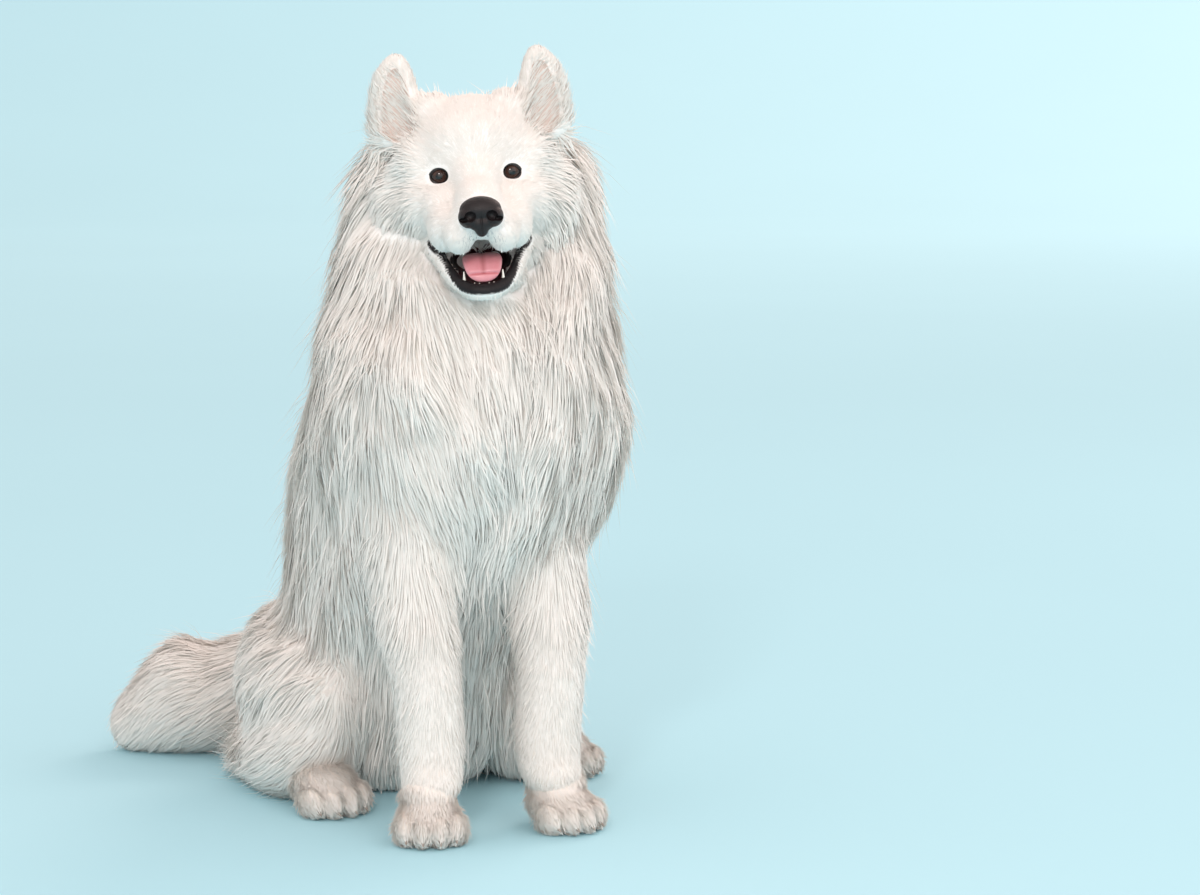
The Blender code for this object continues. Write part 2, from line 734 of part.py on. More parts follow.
def lid_ring(side):
    """The rim of the lids round one eye, an almond ring that follows the eyeball."""
    bm = bmesh.new()
    around, section = 18, 5
    rings = []
    for i in range(around):
        a = math.tau * (i + 0.5) / around
        x = LID_HALF_WIDTH * math.cos(a)
        z = LID_HALF_HEIGHT * math.sin(a) * (1 - 0.25 * math.cos(a) ** 2)
        depth = math.sqrt(max(1e-9, EYEBALL ** 2 - x * x - z * z))
        out = Vector((x, -depth, z)).normalized()
        centre = out * (EYEBALL + LID_THICK * 0.35)
        across = Vector((math.cos(a), 0, math.sin(a)))
        across = (across - out * across.dot(out)).normalized()
        turns = [math.tau * k / section for k in range(section)]
        rings.append([bm.verts.new(centre + (out * math.cos(b) + across * math.sin(b)) * LID_THICK)
                      for b in turns])
    for here, there in zip(rings, rings[1:] + rings[:1]):
        for k in range(section):
            bm.faces.new((here[k], there[k], there[(k + 1) % section], here[(k + 1) % section]))
    bmesh.ops.recalc_face_normals(bm, faces=bm.faces)
    bmesh.ops.translate(bm, verts=bm.verts, vec=eye_centre(side))
    return set_on_head(object_of("lid", bm))


def socket(side):
    bm = bmesh.new()
    place = Matrix.Translation(eye_centre(side) + Vector((0, -SOCKET_OUT, 0)))
    turned = Matrix.Rotation(SOCKET_TURN, 4, Vector((3, 2, 1)))
    bmesh.ops.create_icosphere(bm, subdivisions=2, radius=1.0,
                               matrix=place @ Matrix.Diagonal((*SOCKET, 1.0)) @ turned)
    return set_on_head(object_of("socket", bm))


def tooth(place, side):
    x, y, gum, radius, length = place
    middle = Matrix.Translation((x * side, y, gum + length / 2))
    bm = bmesh.new()
    bmesh.ops.create_cone(bm, cap_ends=True, segments=5, radius1=radius, radius2=radius * 0.25,
                          depth=length, matrix=middle)
    return set_on_head(object_of("tooth", bm))


def plan_head():
    """The plain forms of the head and of what it carries."""
    for name, side in SIDES.items():
        make_eye(side, f"eye_{name}")
        mirrored = [((p[0] * side, p[1], p[2]), half) for p, half in EAR.values()]
        kept(set_on_head(swept(f"ear_{name}", mirrored, WRAPS["ear"], step=0.004)))
    kept(form("head", HEAD, WRAPS["head"]), head_locks())
    kept(jaw_form())
    kept(form("nose", NOSE, WRAPS["nose"], "nose"))
    kept(set_on_head(swept("tongue", list(TONGUE.values()), WRAPS["tongue"], 0.003, "tongue")))


def finish_head():
    head = bpy.data.objects["head"]
    grown_coat(head)
    clear_of_cores(head, "neck")
    clear_of_rooms(head, "ear_left", "ear_right", "lower_jaw")
    combine(head, [socket(side) for side in (1, -1)], "DIFFERENCE", "MANIFOLD")
    combine(head, [lid_ring(side) for side in (1, -1)], "UNION", "MANIFOLD")
    combine(head, [form("mouth_cut", MOUTH, WRAPS["mouth"])], "DIFFERENCE", "MANIFOLD")
    cutters = [grown_core(name) for name in ("eye_left", "eye_right", "tongue")]
    keep_largest(combine(head, cutters, "DIFFERENCE", "MANIFOLD"))

    jaw = bpy.data.objects["lower_jaw"]
    combine(jaw, [form("trough_cut", TROUGH, WRAPS["trough"])], "DIFFERENCE")
    combine(jaw, [tooth(place, side) for place in TOOTH.values() for side in (1, -1)], "UNION")
    combine(jaw, [grown_core("tongue")], "DIFFERENCE")
    clear_of_cores(jaw, "neck", "head", "torso")

    nose = bpy.data.objects["nose"]
    combine(nose, [form("nostril_cut", NOSTRIL, WRAPS["nostril"])], "DIFFERENCE")
    clear_of_cores(nose, "head")
    for name, side in SIDES.items():
        ear = bpy.data.objects[f"ear_{name}"]
        cup = [((p[0] * side, p[1], p[2]), half) for p, half in EAR_CUP.values()]
        combine(ear, [set_on_head(swept("cup_cut", cup, WRAPS["ear_cup"], 0.004))], "DIFFERENCE")
        clear_of_cores(ear, "head", "neck")
    clear_of_cores(bpy.data.objects["tongue"], "neck")


def claw(toe_x, reach):
    aim = Matrix.Rotation(math.radians(CLAW_TILT), 4, "X")
    place = Matrix.Translation((toe_x, TOE_BASE - reach - TOE_HALF[1], CLAW_RISE)) @ aim
    bm = bmesh.new()
    bmesh.ops.create_cone(bm, cap_ends=True, segments=5, radius1=CLAW_RADIUS,
                          radius2=CLAW_RADIUS / 4, depth=CLAW_LENGTH, matrix=place)
    return object_of("claw", bm)


def make_paw(name):
    (x, y), turn, size = PAWS[name]
    bm = bmesh.new()
    ellipsoid(bm, *PAW_PAD)
    toes = list(zip(TOE_PLACES, TOE_REACH))
    for toe_x, reach in toes:
        ellipsoid(bm, (toe_x, TOE_BASE - reach, TOE_RISE), TOE_HALF)
    place = Matrix.Translation((x, y, 0)) @ Matrix.Rotation(math.radians(turn), 4, "Z")
    place = place @ Matrix.Scale(size, 4)
    paw = fused(name, bm, WRAPS["paw"])
    paw.data.transform(place)
    kept(paw)
    claws = [claw(*toe) for toe in toes]
    for each in claws:
        each.data.transform(place)
    stood(keep_largest(combine(paw, claws, "UNION")))


def tail_path():
    return list(between(core_of(TAIL), 0.006))


def plan_tail():
    bm = bmesh.new()
    for centre, half in tail_path():
        ellipsoid(bm, centre, half)
    kept(fused("tail", bm, WRAPS["tail"]), tail_locks())


def finish_tail():
    """The tail in lengths, each with a face that meets the next."""
    whole = bpy.data.objects["tail"]
    stood(grown_coat(whole))
    clear_of_cores(whole, "torso", "hindleg_right", "hindleg_left")
    places = [centre for centre, half in tail_path()]
    ends = [0, *(round(share * (len(places) - 1)) for share in TAIL_CUTS), len(places) - 1]
    for i, name in enumerate(("tail_root", "tail_middle", "tail_brush")):
        cuts = []
        if i > 0:
            cuts.append(half_space(places, ends[i], -1))
        if i < len(TAIL_CUTS):
            cuts.append(half_space(places, ends[i + 1], 1))
        keep_largest(combine(copy_of(whole, name), cuts, "DIFFERENCE"))
    drop(whole)


def half_space(places, index, side):
    """A block that fills all on one side of the tail's path at that point, less half the gap."""
    along = (places[index + 1] - places[index - 1]).normalized() * side
    turn = along.to_track_quat("Z", "Y").to_matrix().to_4x4()
    middle = places[index] + along * (TAIL_BLOCK / 2 - GAP / 2)
    return box_cutter(TAIL_BLOCK, Matrix.Translation(middle) @ turn)


def plan_legs():
    for side in SIDES:
        make_paw(f"forepaw_{side}")
        make_paw(f"hindpaw_{side}")
        kept(swept(f"foreleg_{side}", core_of(FORELEG[side]), WRAPS["foreleg"]))
        leg = swept(f"hindleg_{side}", core_of(HINDLEG[side]), WRAPS["hindleg"])
        kept(leg, hindleg_locks(side))


def finish_legs():
    for side in SIDES:
        foreleg = bpy.data.objects[f"foreleg_{side}"]
        clear_of_cores(foreleg, "torso", f"hindleg_{side}")
        hindleg = bpy.data.objects[f"hindleg_{side}"]
        stood(grown_coat(hindleg))
        clear_of_cores(hindleg, "torso")
        clear_of_rooms(hindleg, f"hindpaw_{side}", f"foreleg_{side}", "tail")
        clear_of_cores(bpy.data.objects[f"forepaw_{side}"], f"foreleg_{side}")
        clear_of_cores(bpy.data.objects[f"hindpaw_{side}"], f"hindleg_{side}", "torso")


def plan_trunk():
    neck = swept("neck", core_of(NECK), WRAPS["neck"])
    torso = swept("torso", core_of(TRUNK), WRAPS["torso"])
    kept(neck, neck_locks())
    kept(torso, torso_locks())


def finish_trunk():
    neck = grown_coat(bpy.data.objects["neck"])
    clear_of_cores(neck, "torso")
    clear_of_rooms(neck, "head", "lower_jaw", "ear_left", "ear_right")
    torso = stood(grown_coat(bpy.data.objects["torso"]))
    limbs = [f"{leg}_{side}" for leg in ("foreleg", "hindleg", "forepaw", "hindpaw") for side in SIDES]
    clear_of_rooms(torso, "neck", "tail", "lower_jaw", *limbs)


def main():
    clear_scene()
    plan_trunk()
    plan_head()
    plan_tail()
    plan_legs()
    finish_head()
    finish_tail()
    finish_legs()
    finish_trunk()
    drop(*(core for core, locks in CORES.values()))


main()
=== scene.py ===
"""The looks of a samoyed that sits with its head turned to its right and its mouth open.

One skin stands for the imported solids' flesh, and a coat of joined tufts grows from it. The sizes
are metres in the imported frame: the dog faces -Y, its left is +X, and the floor is at zero.
"""

import math

import bpy
import numpy as np
from bpy.props import FloatProperty, FloatVectorProperty, IntProperty, PointerProperty
from bpy.types import Operator, Panel, PropertyGroup
from mathutils import Matrix, Vector
from mathutils.bvhtree import BVHTree
from mathutils.kdtree import KDTree


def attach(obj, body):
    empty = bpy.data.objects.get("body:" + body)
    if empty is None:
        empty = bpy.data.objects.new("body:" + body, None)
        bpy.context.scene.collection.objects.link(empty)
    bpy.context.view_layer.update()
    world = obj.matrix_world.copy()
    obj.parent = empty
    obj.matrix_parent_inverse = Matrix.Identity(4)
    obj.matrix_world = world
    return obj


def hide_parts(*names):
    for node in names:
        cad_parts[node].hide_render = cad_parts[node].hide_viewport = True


bl_info = {
    "name": "Sitting Samoyed",
    "version": (1, 0, 0),
    "blender": (4, 5, 0),
    "location": "View3D > Sidebar > Samoyed",
    "description": "Skin, face and coat of a sitting samoyed around its packed frame",
    "category": "Object",
}

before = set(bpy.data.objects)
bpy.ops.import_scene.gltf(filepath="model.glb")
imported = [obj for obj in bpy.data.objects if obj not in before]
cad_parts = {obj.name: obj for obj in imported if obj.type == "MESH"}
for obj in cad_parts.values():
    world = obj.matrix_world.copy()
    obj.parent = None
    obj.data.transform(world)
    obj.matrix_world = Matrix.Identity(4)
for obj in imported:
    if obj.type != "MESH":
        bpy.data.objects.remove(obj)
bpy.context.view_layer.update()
SIDES = {"left": 1, "right": -1}

# The body's outline over the coat, near the part's source: a place on the axis, x y z, half the
# width, depth and height there, and the coat's depth. The skin keeps the first share of that
# depth, and the undercoat's shell keeps the second.
CORE_SHARE = 0.5
WOOL_SHARE = 0.78
TRUNK = [
    ((0.000, 0.000, 0.100), (0.146, 0.122, 0.112), 0.040),
    ((0.000, -0.058, 0.215), (0.142, 0.132, 0.110), 0.045),
    ((0.017, -0.118, 0.320), (0.160, 0.170, 0.105), 0.050),
    ((0.015, -0.170, 0.395), (0.166, 0.150, 0.095), 0.058),
    ((0.013, -0.184, 0.455), (0.158, 0.136, 0.080), 0.064),
]
NECK = [
    ((0.014, -0.182, 0.470), (0.157, 0.134, 0.060), 0.064),
    ((0.024, -0.168, 0.545), (0.142, 0.110, 0.060), 0.060),
    ((0.028, -0.160, 0.606), (0.130, 0.096, 0.056), 0.052),
    ((0.024, -0.168, 0.640), (0.114, 0.062, 0.066), 0.040),
]
FORELEG_X = {"left": (0.078, 0.080, 0.074, 0.068, 0.069),
             "right": (-0.064, -0.058, -0.053, -0.051, -0.054)}
FORELEG_ROWS = [
    ((-0.205, 0.300), (0.050, 0.060, 0.050), 0.052),
    ((-0.222, 0.225), (0.043, 0.048, 0.040), 0.028),
    ((-0.242, 0.150), (0.036, 0.038, 0.030), 0.012),
    ((-0.250, 0.080), (0.034, 0.034, 0.026), 0.010),
    ((-0.258, 0.052), (0.031, 0.034, 0.022), 0.008),
]
FORELEG = {side: [((x, *place), half, coat) for x, (place, half, coat) in zip(across, FORELEG_ROWS)]
           for side, across in FORELEG_X.items()}
HINDLEG = {
    "left": [
        ((0.092, 0.020, 0.118), (0.072, 0.094, 0.084), 0.032),
        ((0.108, -0.035, 0.110), (0.064, 0.078, 0.080), 0.030),
        ((0.114, -0.078, 0.108), (0.050, 0.052, 0.056), 0.020),
        ((0.122, -0.040, 0.052), (0.050, 0.075, 0.050), 0.022),
        ((0.112, 0.062, 0.034), (0.050, 0.052, 0.044), 0.024),
    ],
    "right": [
        ((-0.092, 0.020, 0.118), (0.072, 0.094, 0.084), 0.032),
        ((-0.106, -0.035, 0.110), (0.066, 0.078, 0.080), 0.030),
        ((-0.104, -0.082, 0.108), (0.050, 0.052, 0.056), 0.020),
        ((-0.118, -0.035, 0.052), (0.056, 0.078, 0.050), 0.022),
        ((-0.110, 0.062, 0.034), (0.050, 0.056, 0.044), 0.024),
    ],
}
TAIL = [
    ((0.000, 0.098, 0.090), (0.050, 0.050, 0.050), 0.028),
    ((-0.055, 0.162, 0.082), (0.060, 0.060, 0.060), 0.038),
    ((-0.120, 0.198, 0.074), (0.066, 0.066, 0.066), 0.046),
    ((-0.172, 0.214, 0.068), (0.060, 0.060, 0.062), 0.042),
    ((-0.218, 0.234, 0.036), (0.030, 0.030, 0.034), 0.016),
]

# The paws: where each stands, how far its toes turn out to the dog's left, and its size.
PAWS = {
    "forepaw_left": ((0.075, -0.268), 9.0, 0.94),
    "forepaw_right": ((-0.061, -0.272), -16.0, 0.94),
    "hindpaw_left": ((0.163, -0.042), 12.0, 0.94),
    "hindpaw_right": ((-0.116, -0.118), 8.0, 0.98),
}
PAW_PAD = ((0.0, 0.004, 0.026), (0.0325, 0.040, 0.025))
INSTEP = ((0.0, 0.012, 0.046), (0.0300, 0.034, 0.026))
TOE_PLACES = (-0.0255, -0.0090, 0.0090, 0.0255)
TOE_REACH = (0.030, 0.040, 0.040, 0.030)
TOE_BASE = 0.012
TOE_RISE = 0.016
TOE_HALF = (0.0126, 0.022, 0.0180)
PAW_COAT = 0.0015
CLAW_LENGTH = 0.0112
CLAW_TILT = 112.0
CLAW_RISE = 0.0085
CLAW_RADIUS = 0.0027
CLAW_SUNK = 0.001

# The head: the middle of the line between the eyes, its turn and its tilt, in degrees.
EYE_LINE = Vector((-0.0125, -0.2750, 0.6330))
HEAD_TURN = -18.0
HEAD_TILT = 3.5
EYE_SPACING = 0.0660
EYE_DEPTH = 0.0070
FACE_REACH = 0.14
EYEBALL = 0.0112
FACE_COAT = 0.003
EAR_COAT = 0.0010
JAW_COAT = 0.002
RIM_COAT = 0.0008

# The head's forms from the eye line's middle: x to its left, y back, z up, then half sizes. A
# form with x above 0 has a twin on the other side.
HEAD = {
    "cranium": ((0.000, 0.050, 0.014), (0.070, 0.070, 0.062)),
    "forehead": ((0.000, 0.018, 0.026), (0.050, 0.040, 0.040)),
    "brow": ((0.025, 0.008, 0.018), (0.023, 0.022, 0.016)),
    "temple": ((0.048, 0.034, 0.010), (0.028, 0.036, 0.034)),
    "stop": ((0.000, -0.006, -0.004), (0.027, 0.034, 0.026)),
    "bridge": ((0.000, -0.040, -0.022), (0.025, 0.042, 0.024)),
    "muzzle": ((0.000, -0.060, -0.036), (0.028, 0.026, 0.025)),
    "lip": ((0.0205, -0.053, -0.0505), (0.0185, 0.026, 0.0235)),
    "lip_side": ((0.0310, -0.026, -0.0465), (0.0210, 0.034, 0.0265)),
    "muzzle_side": ((0.0330, -0.004, -0.030), (0.0240, 0.034, 0.0270)),
    "cheek": ((0.040, 0.026, -0.026), (0.036, 0.042, 0.036)),
    "jowl": ((0.054, 0.056, -0.024), (0.043, 0.040, 0.052)),
    "gullet": ((0.024, 0.036, -0.068), (0.038, 0.040, 0.036)),
    "crown": ((0.034, 0.050, 0.052), (0.028, 0.030, 0.027)),
}
JAW_RIM = [
    ((0.0430, 0.004, -0.0665), (0.0085, 0.0110, 0.0100)),
    ((0.0350, -0.018, -0.0825), (0.0072, 0.0090, 0.0085)),
    ((0.0240, -0.040, -0.0975), (0.0070, 0.0080, 0.0080)),
    ((0.0120, -0.053, -0.1045), (0.0070, 0.0078, 0.0080)),
    ((0.0000, -0.0565, -0.1058), (0.0070, 0.0078, 0.0080)),
]
JAW_FLOOR = {
    "floor": ((0.000, -0.026, -0.1085), (0.024, 0.034, 0.0095)),
    "chin": ((0.000, -0.046, -0.1085), (0.018, 0.016, 0.0085)),
    "root": ((0.018, 0.012, -0.0970), (0.026, 0.030, 0.0180)),
}
MOUTH = {
    "palate": ((0.000, -0.028, -0.0800), (0.0225, 0.042, 0.0165)),
    "gape": ((0.0150, -0.024, -0.0760), (0.0165, 0.029, 0.0100)),
    "bed": ((0.000, -0.020, -0.0900), (0.0210, 0.034, 0.0140)),
    "back": ((0.012, -0.002, -0.0790), (0.0160, 0.020, 0.0130)),
}
UPPER_LIP = [
    (0.0000, -0.0790, -0.0630), (0.0120, -0.0760, -0.0690), (0.0240, -0.0660, -0.0735),
    (0.0360, -0.0400, -0.0755), (0.0430, -0.0160, -0.0700), (0.0480, 0.0020, -0.0610),
]
NOSE = {
    "pad": ((0.000, -0.078, -0.030), (0.0195, 0.014, 0.0125)),
    "wing": ((0.0110, -0.080, -0.036), (0.0100, 0.012, 0.0105)),
    "base": ((0.000, -0.0800, -0.0415), (0.0130, 0.0105, 0.0085)),
    "groove": ((0.000, -0.0795, -0.0445), (0.0072, 0.0095, 0.0105)),
}
NOSTRIL = {
    "hole": ((0.0100, -0.0925, -0.0355), (0.0057, 0.0088, 0.0054)),
    "slit": ((0.0165, -0.0890, -0.0385), (0.0052, 0.0075, 0.0025)),
}
EAR = [
    ((0.065, 0.054, 0.040), (0.032, 0.018, 0.018)),
    ((0.070, 0.052, 0.062), (0.027, 0.015, 0.016)),
    ((0.070, 0.050, 0.082), (0.023, 0.013, 0.014)),
    ((0.069, 0.049, 0.098), (0.018, 0.010, 0.012)),
    ((0.067, 0.049, 0.108), (0.011, 0.007, 0.008)),
]
EAR_CUP = [
    ((0.067, 0.034, 0.044), (0.020, 0.013, 0.013)),
    ((0.069, 0.034, 0.062), (0.018, 0.012, 0.013)),
    ((0.069, 0.035, 0.080), (0.014, 0.009, 0.012)),
    ((0.068, 0.038, 0.095), (0.008, 0.006, 0.008)),
]
LID_HALF_WIDTH = 0.0096
LID_HALF_HEIGHT = 0.0073
LID_THICK = 0.0015
LID_CLEAR = (0.0016, 0.0018)
SOCKET = (0.0105, 0.0110, 0.0084)
SOCKET_OUT = 0.010
EYE_AIM = (0.10, -1.0, 0.0)
CORNEA = 0.055

# Down the tongue's middle from its root: the place, half the width and half the thickness
TONGUE = [
    ((0.000, 0.012, -0.0830), 0.0150, 0.0060),
    ((0.000, -0.010, -0.0790), 0.0175, 0.0058),
    ((0.000, -0.030, -0.0785), 0.0185, 0.0052),
    ((0.000, -0.044, -0.0825), 0.0178, 0.0045),
    ((0.000, -0.0515, -0.0890), 0.0155, 0.0036),
    ((0.000, -0.0540, -0.0945), 0.0110, 0.0028),
    ((0.000, -0.0545, -0.0975), 0.0050, 0.0016),
]
TONGUE_GROOVE = (0.0016, 0.0012)
TONGUE_LIFT = 0.0022

# Each tooth: how far out and how far back it stands, the gum's height, the radius and the length,
# which is below zero for the upper teeth
TEETH = [
    (0.0180, -0.0474, -0.0985, 0.0019, 0.0110),
    (0.0045, -0.0540, -0.1020, 0.0015, 0.0036),
    (0.0090, -0.0525, -0.1015, 0.0015, 0.0036),
    (0.0225, -0.0360, -0.0965, 0.0017, 0.0055),
    (0.0255, -0.0260, -0.0925, 0.0018, 0.0060),
    (0.0280, -0.0160, -0.0880, 0.0020, 0.0065),
    (0.0175, -0.0600, -0.0600, 0.0020, -0.0115),
    (0.0250, -0.0330, -0.0640, 0.0019, -0.0065),
    (0.0270, -0.0220, -0.0640, 0.0021, -0.0070),
]

# How fine each wrapped form is, its voxel and its rounds of smoothing, and how far apart the
# ellipsoids stand along each kind of path
GRAIN = {
    "body": (0.0060, 4), "wool": (0.0055, 8), "paw": (0.0023, 6), "head": (0.0019, 20),
    "cut": (0.0015, 3), "nose": (0.0007, 6), "nostril": (0.0006, 3),
}
TRUNK_STEP = 0.012
LEG_STEP = 0.010
TAIL_STEP = 0.008
EAR_STEP = 0.004
EAR_PART_STEP = 0.006
RIM_STEP = 0.003
LIP_STEP = 0.002
TONGUE_STEP = 0.0012
SOFT_LEVELS = 10
FACE_ROUNDS = 80
LEG_TOP_ROUNDS = 60

# Each part of the coat: its length, its width, how high its tips stand, how it gathers in locks
SUB_COATS = {
    "torso": (0.056, 0.0017, 0.15, 0.14),
    "neck": (0.062, 0.0017, 0.16, 0.14),
    "tail": (0.050, 0.0016, 0.17, 0.12),
    "foreleg": (0.020, 0.0012, 0.13, 0.10),
    "hindleg": (0.040, 0.0015, 0.16, 0.12),
    "paw": (0.0130, 0.0010, 0.30, 0.10),
    "head": (0.018, 0.0010, 0.15, 0.06),
    "ear": (0.0085, 0.0009, 0.16, 0.05),
}
EAR_EDGE_COAT = (0.026, 0.0009, 0.30)
EAR_CUP_COAT = (0.015, 0.0009, 0.24)

# The ruff's and the bib's lower edges on the chest: the height in the middle, how much higher the
# edge runs at the sides, and how far it stands proud
TIERS = (
    (0.470, 0.085, 0.007),
    (0.350, 0.110, 0.004),
)
FLUFF = 0.0045
FLYAWAY = 0.05
PIECE_TUFTS = 19500
LOCK_TUFTS = 14
PART_BLEND = 9.0
CHEST_HALF = 0.140
DOWN = np.array([0.0, 0.0, -1.0])
LINE_SHARES = np.array((0.0, 0.5, 1.0))
TUFT_PROFILE = (0.6, 1.0)
TUFT_PATCH = 0.0015
COAT_CLEAR = 0.0012

# Where the coat grows: how near another part's middle it stops, the lowest root, how far the ear
# cups thin it, and how its density falls as the hair gets longer than the shortest
COAT_COVERED = 0.94
LOWEST_ROOT = 0.001
EAR_CUP_THINNING = 0.82
SHORTEST_HAIR = 0.006
LENGTH_THINNING = 0.9
COAT_SEEDS = {"short": 21, "long": 22}
RIPPLES = {"broad": (0.11, 3), "fine": (0.035, 4), "lumps": (0.085, 11), "small_lumps": (0.040, 12)}

# The grey patch between the nose and the upper lip: its middle on the head and its half sizes
GREY_BELOW_NOSE = ((0.0, -0.078, -0.061), (0.026, 0.03, 0.014))
SAND_TOP = (0.02, 0.19)
SAND_SHARE = 0.55

# Colours of the bare parts, a darker one and a lighter one, and the single ones
TINTS = {
    "pink": ((0.46, 0.30, 0.24), (0.74, 0.57, 0.48)),
    "lining": ((0.040, 0.008, 0.009), (0.090, 0.020, 0.022)),
    "lip": ((0.005, 0.004, 0.005), (0.018, 0.015, 0.016)),
    "leather": ((0.006, 0.005, 0.006), (0.022, 0.016, 0.016)),
    "iris": ((0.016, 0.006, 0.004), (0.062, 0.024, 0.014)),
    "tongue": ((0.60, 0.18, 0.21), (0.78, 0.34, 0.37)),
    "enamel": ((0.86, 0.82, 0.72), (0.93, 0.91, 0.86)),
    "lid": ((0.006, 0.005, 0.006), (0.026, 0.020, 0.020)),
    "horn": ((0.20, 0.17, 0.15), (0.52, 0.45, 0.39)),
}
PALE_SKIN = (0.90, 0.87, 0.84)
PUPIL = (0.002, 0.002, 0.002)
IRIS_EDGE = (0.004, 0.003, 0.003)
EYE_WHITE = (0.10, 0.07, 0.06)
# The tongue's groove colour: painted shade in its crease
GROOVE_SHADE = (0.42, 0.10, 0.11)

# The camera: its place, which way it looks, in degrees, and its lens, for a 36 mm sensor.
CAMERA_PLACE = (-1.0446, -3.1404, 0.7350)
CAMERA_TURN = -22.0
CAMERA_DROP = 6.74
CAMERA_LENS = 97.35
CAMERA_SENSOR = 36.0

# Each lamp: its place, what it points at, its size, the setting for its power and its share of it
DOG_MIDDLE = (0.0, -0.15, 0.38)
LAMPS = {
    "key": ((2.0, -5.0, 3.0), DOG_MIDDLE, 4.5, "key", 1.0),
    "fill": ((-1.7, -4.6, 0.9), DOG_MIDDLE, 3.5, "fill", 1.0),
    "side": ((3.8, 0.2, 2.0), DOG_MIDDLE, 3.0, "fill", 0.4),
    "glint": ((-1.5, -2.9, 2.1), DOG_MIDDLE, 0.42, "glint", 1.0),
    "backdrop": ((11.0, 8.0, 10.0), (7.0, 12.0, 0.0), 7.0, "backdrop", 1.0),
}
BACKDROP_WARMTH = Vector((1.0, 0.82, 0.77))

# The seamless floor: the level part's radius, the curve's radius and how far it turns up
SWEEP_RADIUS = 12.0
SWEEP_CURVE = 8.0
SWEEP_ARC = 40.0
SWEEP_STEPS = 12


# Modelling tools

def select(*objects):
    bpy.ops.object.select_all(action="DESELECT")
    for obj in objects:
        obj.select_set(True)
    if objects:
        bpy.context.view_layer.objects.active = objects[0]


def apply_modifier(obj, kind, **settings):
    """Adds a modifier to obj and applies it."""
    select(obj)
    bpy.ops.object.modifier_add(type=kind)
    modifier = obj.modifiers[-1]
    for name, value in settings.items():
        setattr(modifier, name, value)
    bpy.ops.object.modifier_apply(modifier=modifier.name)
    return obj


def joined(name, parts):
    """Joins objects into one of that name."""
    select(*parts)
    if len(parts) > 1:
        bpy.ops.object.join()
    obj = bpy.context.view_layer.objects.active
    obj.name = name
    obj.data.name = name
    return obj


def balls(name, forms, subdivisions=3):
    """Ellipsoids, each with its centre and half sizes, as one object."""
    select()
    bpy.ops.mesh.primitive_ico_sphere_add(subdivisions=subdivisions, radius=1.0)
    first = bpy.context.object
    parts = []
    for centre, half in forms:
        copy = first.copy()
        copy.data = first.data.copy()
        copy.data.transform(Matrix.Translation(centre) @ Matrix.Diagonal((*half, 1.0)))
        bpy.context.collection.objects.link(copy)
        parts.append(copy)
    bpy.data.objects.remove(first)
    return joined(name, parts)


def wrapped(obj, voxel, smooth):
    """One closed skin round all of obj, smoothed."""
    apply_modifier(obj, "REMESH", mode="VOXEL", voxel_size=voxel)
    return apply_modifier(obj, "SMOOTH", factor=0.5, iterations=smooth)


def boolean(obj, other, operation):
    apply_modifier(obj, "BOOLEAN", operation=operation, object=other, solver="MANIFOLD")
    bpy.data.objects.remove(other)
    return obj


def curve_at(a, b, c, d, t):
    return 0.5 * (2 * b + (c - a) * t + (2 * a - 5 * b + 4 * c - d) * t * t
                  + (3 * b - a - 3 * c + d) * t * t * t)


def between(stations, step):
    """Places and half sizes along a smooth curve through the stations."""
    rows = [(Vector(place), Vector(half)) for place, half in stations]
    rows = [rows[0], *rows, rows[-1]]
    found = []
    for i in range(1, len(rows) - 2):
        (p0, s0), (p1, s1), (p2, s2), (p3, s3) = rows[i - 1:i + 3]
        count = max(1, round((p2 - p1).length / step))
        for k in range(count):
            t = k / count
            found.append((curve_at(p0, p1, p2, p3, t), curve_at(s0, s1, s2, s3, t)))
    found.append(rows[-1])
    return found


def under_coat(stations, share):
    """The stations' places and half sizes with this share of the coat, still resting on the floor."""
    rows = []
    for (x, y, z), half, coat in stations:
        less = coat * (1 - share)
        if z - half[2] < less:
            z -= less
        rows.append(((x, y, z), tuple(h - less for h in half)))
    return rows


def head_turn():
    """The head's turn and tilt alone, as an array."""
    return np.array(head_place())[:3, :3]


def head_place():
    """The matrix that carries the head's own places into the dog's."""
    turn = Matrix.Rotation(math.radians(HEAD_TURN), 4, "Z")
    tilt = Matrix.Rotation(math.radians(-HEAD_TILT), 4, "Y")
    return Matrix.Translation(EYE_LINE) @ turn @ tilt


def paw_place(name):
    (x, y), turn, size = PAWS[name]
    turned = Matrix.Translation((x, y, 0)) @ Matrix.Rotation(math.radians(turn), 4, "Z")
    return turned @ Matrix.Scale(size, 4)


def twins(forms):
    """The head's forms with their twins."""
    found = []
    for (x, y, z), half in forms.values():
        for side in (1, -1) if x else (1,):
            found.append((Vector((x * side, y, z)), Vector(half)))
    return found


def thinner(forms, less):
    """The forms with this much off every half size."""
    return [(centre, half - Vector((less, less, less))) for centre, half in forms]


def mirrored(stations, side):
    return [((x * side, y, z), half) for (x, y, z), half in stations]


def jaw_rim():
    """Small ellipsoids all along the lower lip, from one corner of the mouth to the other."""
    right = [((-x, y, z), half) for (x, y, z), half in reversed(JAW_RIM[:-1])]
    return between(JAW_RIM + right, RIM_STEP)


def ear_cup(side):
    return between(mirrored(EAR_CUP, side), EAR_STEP)


def centres_of(forms):
    return np.array([tuple(centre) for centre, _ in forms])


def finished(obj, material, slot, *nodes, smooth=True):
    """Gives a piece its material and its body, and hides the nodes that it stands for. The slot is not
    used.
    """
    obj.data.materials.clear()
    obj.data.materials.append(material)
    select(obj)
    if smooth:
        bpy.ops.object.shade_smooth()
    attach(obj, "root")
    if nodes:
        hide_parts(*nodes)
    return obj


